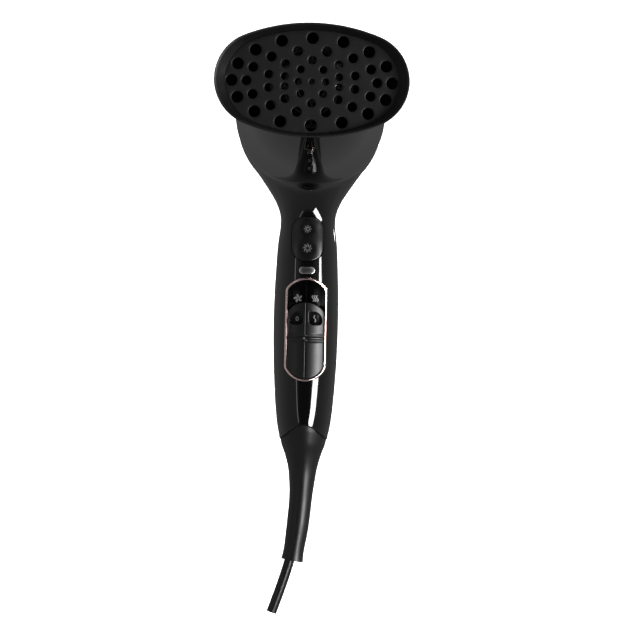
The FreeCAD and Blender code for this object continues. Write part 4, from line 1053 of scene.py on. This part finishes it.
def studio():
    """White to the camera, and a dim room with soft strips of light in reflections."""
    world = bpy.data.worlds.new("surround")
    world.use_nodes = True
    tree = world.node_tree
    shade = tree.nodes["Background"]
    coords = tree.nodes.new("ShaderNodeTexCoord")
    split = tree.nodes.new("ShaderNodeSeparateXYZ")
    tree.links.new(coords.outputs["Generated"], split.inputs["Vector"])
    place = tree.nodes.new("ShaderNodeMapRange")
    place.inputs["From Min"].default_value = -1
    tree.links.new(split.outputs["Y"], place.inputs["Value"])
    ramp = tree.nodes.new("ShaderNodeValToRGB")
    for index, (where, bright) in enumerate(ROOM):
        stops = ramp.color_ramp.elements
        if index == 0:
            stop = stops[0]
        elif index == len(ROOM) - 1:
            stop = stops[-1]
        else:
            stop = stops.new(where / 2 + 0.5)
        stop.position = where / 2 + 0.5
        stop.color = (bright, bright, bright, 1)
    tree.links.new(place.outputs["Result"], ramp.inputs["Fac"])
    path = tree.nodes.new("ShaderNodeLightPath")
    pick = tree.nodes.new("ShaderNodeMix")
    pick.data_type = "RGBA"
    pick.inputs["B"].default_value = (1, 1, 1, 1)
    tree.links.new(path.outputs["Is Camera Ray"], pick.inputs["Factor"])
    dim = tree.nodes.new("ShaderNodeVectorMath")
    dim.operation = "SCALE"
    tree.links.new(ramp.outputs["Color"], dim.inputs["Vector"])
    tree.links.new(dark_stand(tree, split), dim.inputs["Scale"])
    tree.links.new(dim.outputs["Vector"], pick.inputs["A"])
    tree.links.new(pick.outputs["Result"], shade.inputs["Color"])
    bpy.context.scene.world = world
    sweep()
    strip = soft_box("right_strip", (0.9, -1.02, -0.35), (0, 0, -0.25), 0.36, 1.1, 30)
    strip.visible_diffuse = False
    faint = soft_box("left_strip", (-0.72, -1.0, -0.2), (0, 0, -0.2), 0.04, 1.0, 0.3)
    faint.visible_diffuse = False
    rear = soft_box("rear_box", (0.9, 1.3, 1.0), (0, 0, -0.1), 1.4, 1.4, 120)
    rear.visible_camera = False
    bpy.context.scene.view_settings.view_transform = "Standard"


def sweep():
    """Floor that curves up into a backdrop behind the dryer."""
    floor, back, bend, half = -0.45, 1.6, 0.8, 4.0
    profile = [(-4.0, floor)]
    profile += [(back - bend + bend * math.sin(t), floor + bend - bend * math.cos(t))
                for t in np.radians(np.linspace(0, 90, 17))]
    profile.append((back, 4.0))
    points = [(x / MM, y / MM, z / MM) for y, z in profile for x in (-half, half)]
    faces = [(2 * i, 2 * i + 1, 2 * i + 3, 2 * i + 2) for i in range(len(profile) - 1)]
    obj = mesh_from("sweep", points, faces)
    obj.data.polygons.foreach_set("use_smooth", np.ones(len(faces), bool))
    nodes = Nodes("sweep_paper")
    paper = nodes.mix(nodes.noise(8), (0.93, 0.93, 0.93), (0.95, 0.95, 0.95))
    nodes.link(paper, nodes.shader.inputs["Base Color"])
    nodes.shader.inputs["Roughness"].default_value = 0.9
    nodes.shader.inputs["Emission Color"].default_value = (1, 1, 1, 1)
    nodes.shader.inputs["Emission Strength"].default_value = 0.95
    obj.data.materials.append(nodes.material)
    obj.visible_glossy = False
    obj.visible_diffuse = False


# ---- the object ----------------------------------------------------------------------------------


def paint_shade_in_bowl(bowl):
    """Gives the faces of the bowl that look at its axis, behind the face plate, a duller finish with a darker
    colour: painted shade inside the bowl.
    """
    bowl.data.materials.append(MATERIALS["bowl_interior_shade"])
    for face in bowl.data.polygons:
        inward = face.center.x * face.normal.x + face.center.z * face.normal.z < 0
        face.material_index = 1 if inward and face.center.y > -0.165 else 0


def place_pieces():
    """Builds every modelled piece, dresses it and puts it on its body in place of its CAD node."""
    front, rear = housing()
    pieces = [
        (front, "gloss_black", "housing", "housing_front"),
        (rear, "gloss_black", "housing", "housing_rear"),
        (trim_ring(), "rose_gold", "housing", "trim_ring"),
        (badge(), "silver", "housing", "badge_plate"),
        (cap("speed_cap_slide", -1), "cap_black", "speed_slider", "speed_cap"),
        (cap("heat_cap_slide", 1), "cap_black", "heat_slider", "heat_cap"),
        (rocker(), "cap_black", "rocker", "boost_rocker", "rocker_satin"),
        (diffuser_shell(), "diffuser_black", "diffuser", "diffuser_shell"),
        (diffuser_plate(), "diffuser_black", "diffuser", "diffuser_plate"),
    ]
    for obj, slot, body, node, *finish in pieces:
        dress(obj, slot, *finish)
        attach(obj, body)
        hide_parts(node)
    # paints shade on the inside of the bowl
    paint_shade_in_bowl(pieces[7][0])
    cord = dress(power_cord(), "cord_rubber")
    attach(cord, "housing")
    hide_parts("power_cord", "cord_cores")
    for mark, body in printed_marks():
        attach(mark, body)


dress_cad_nodes()
place_pieces()
studio()
camera()
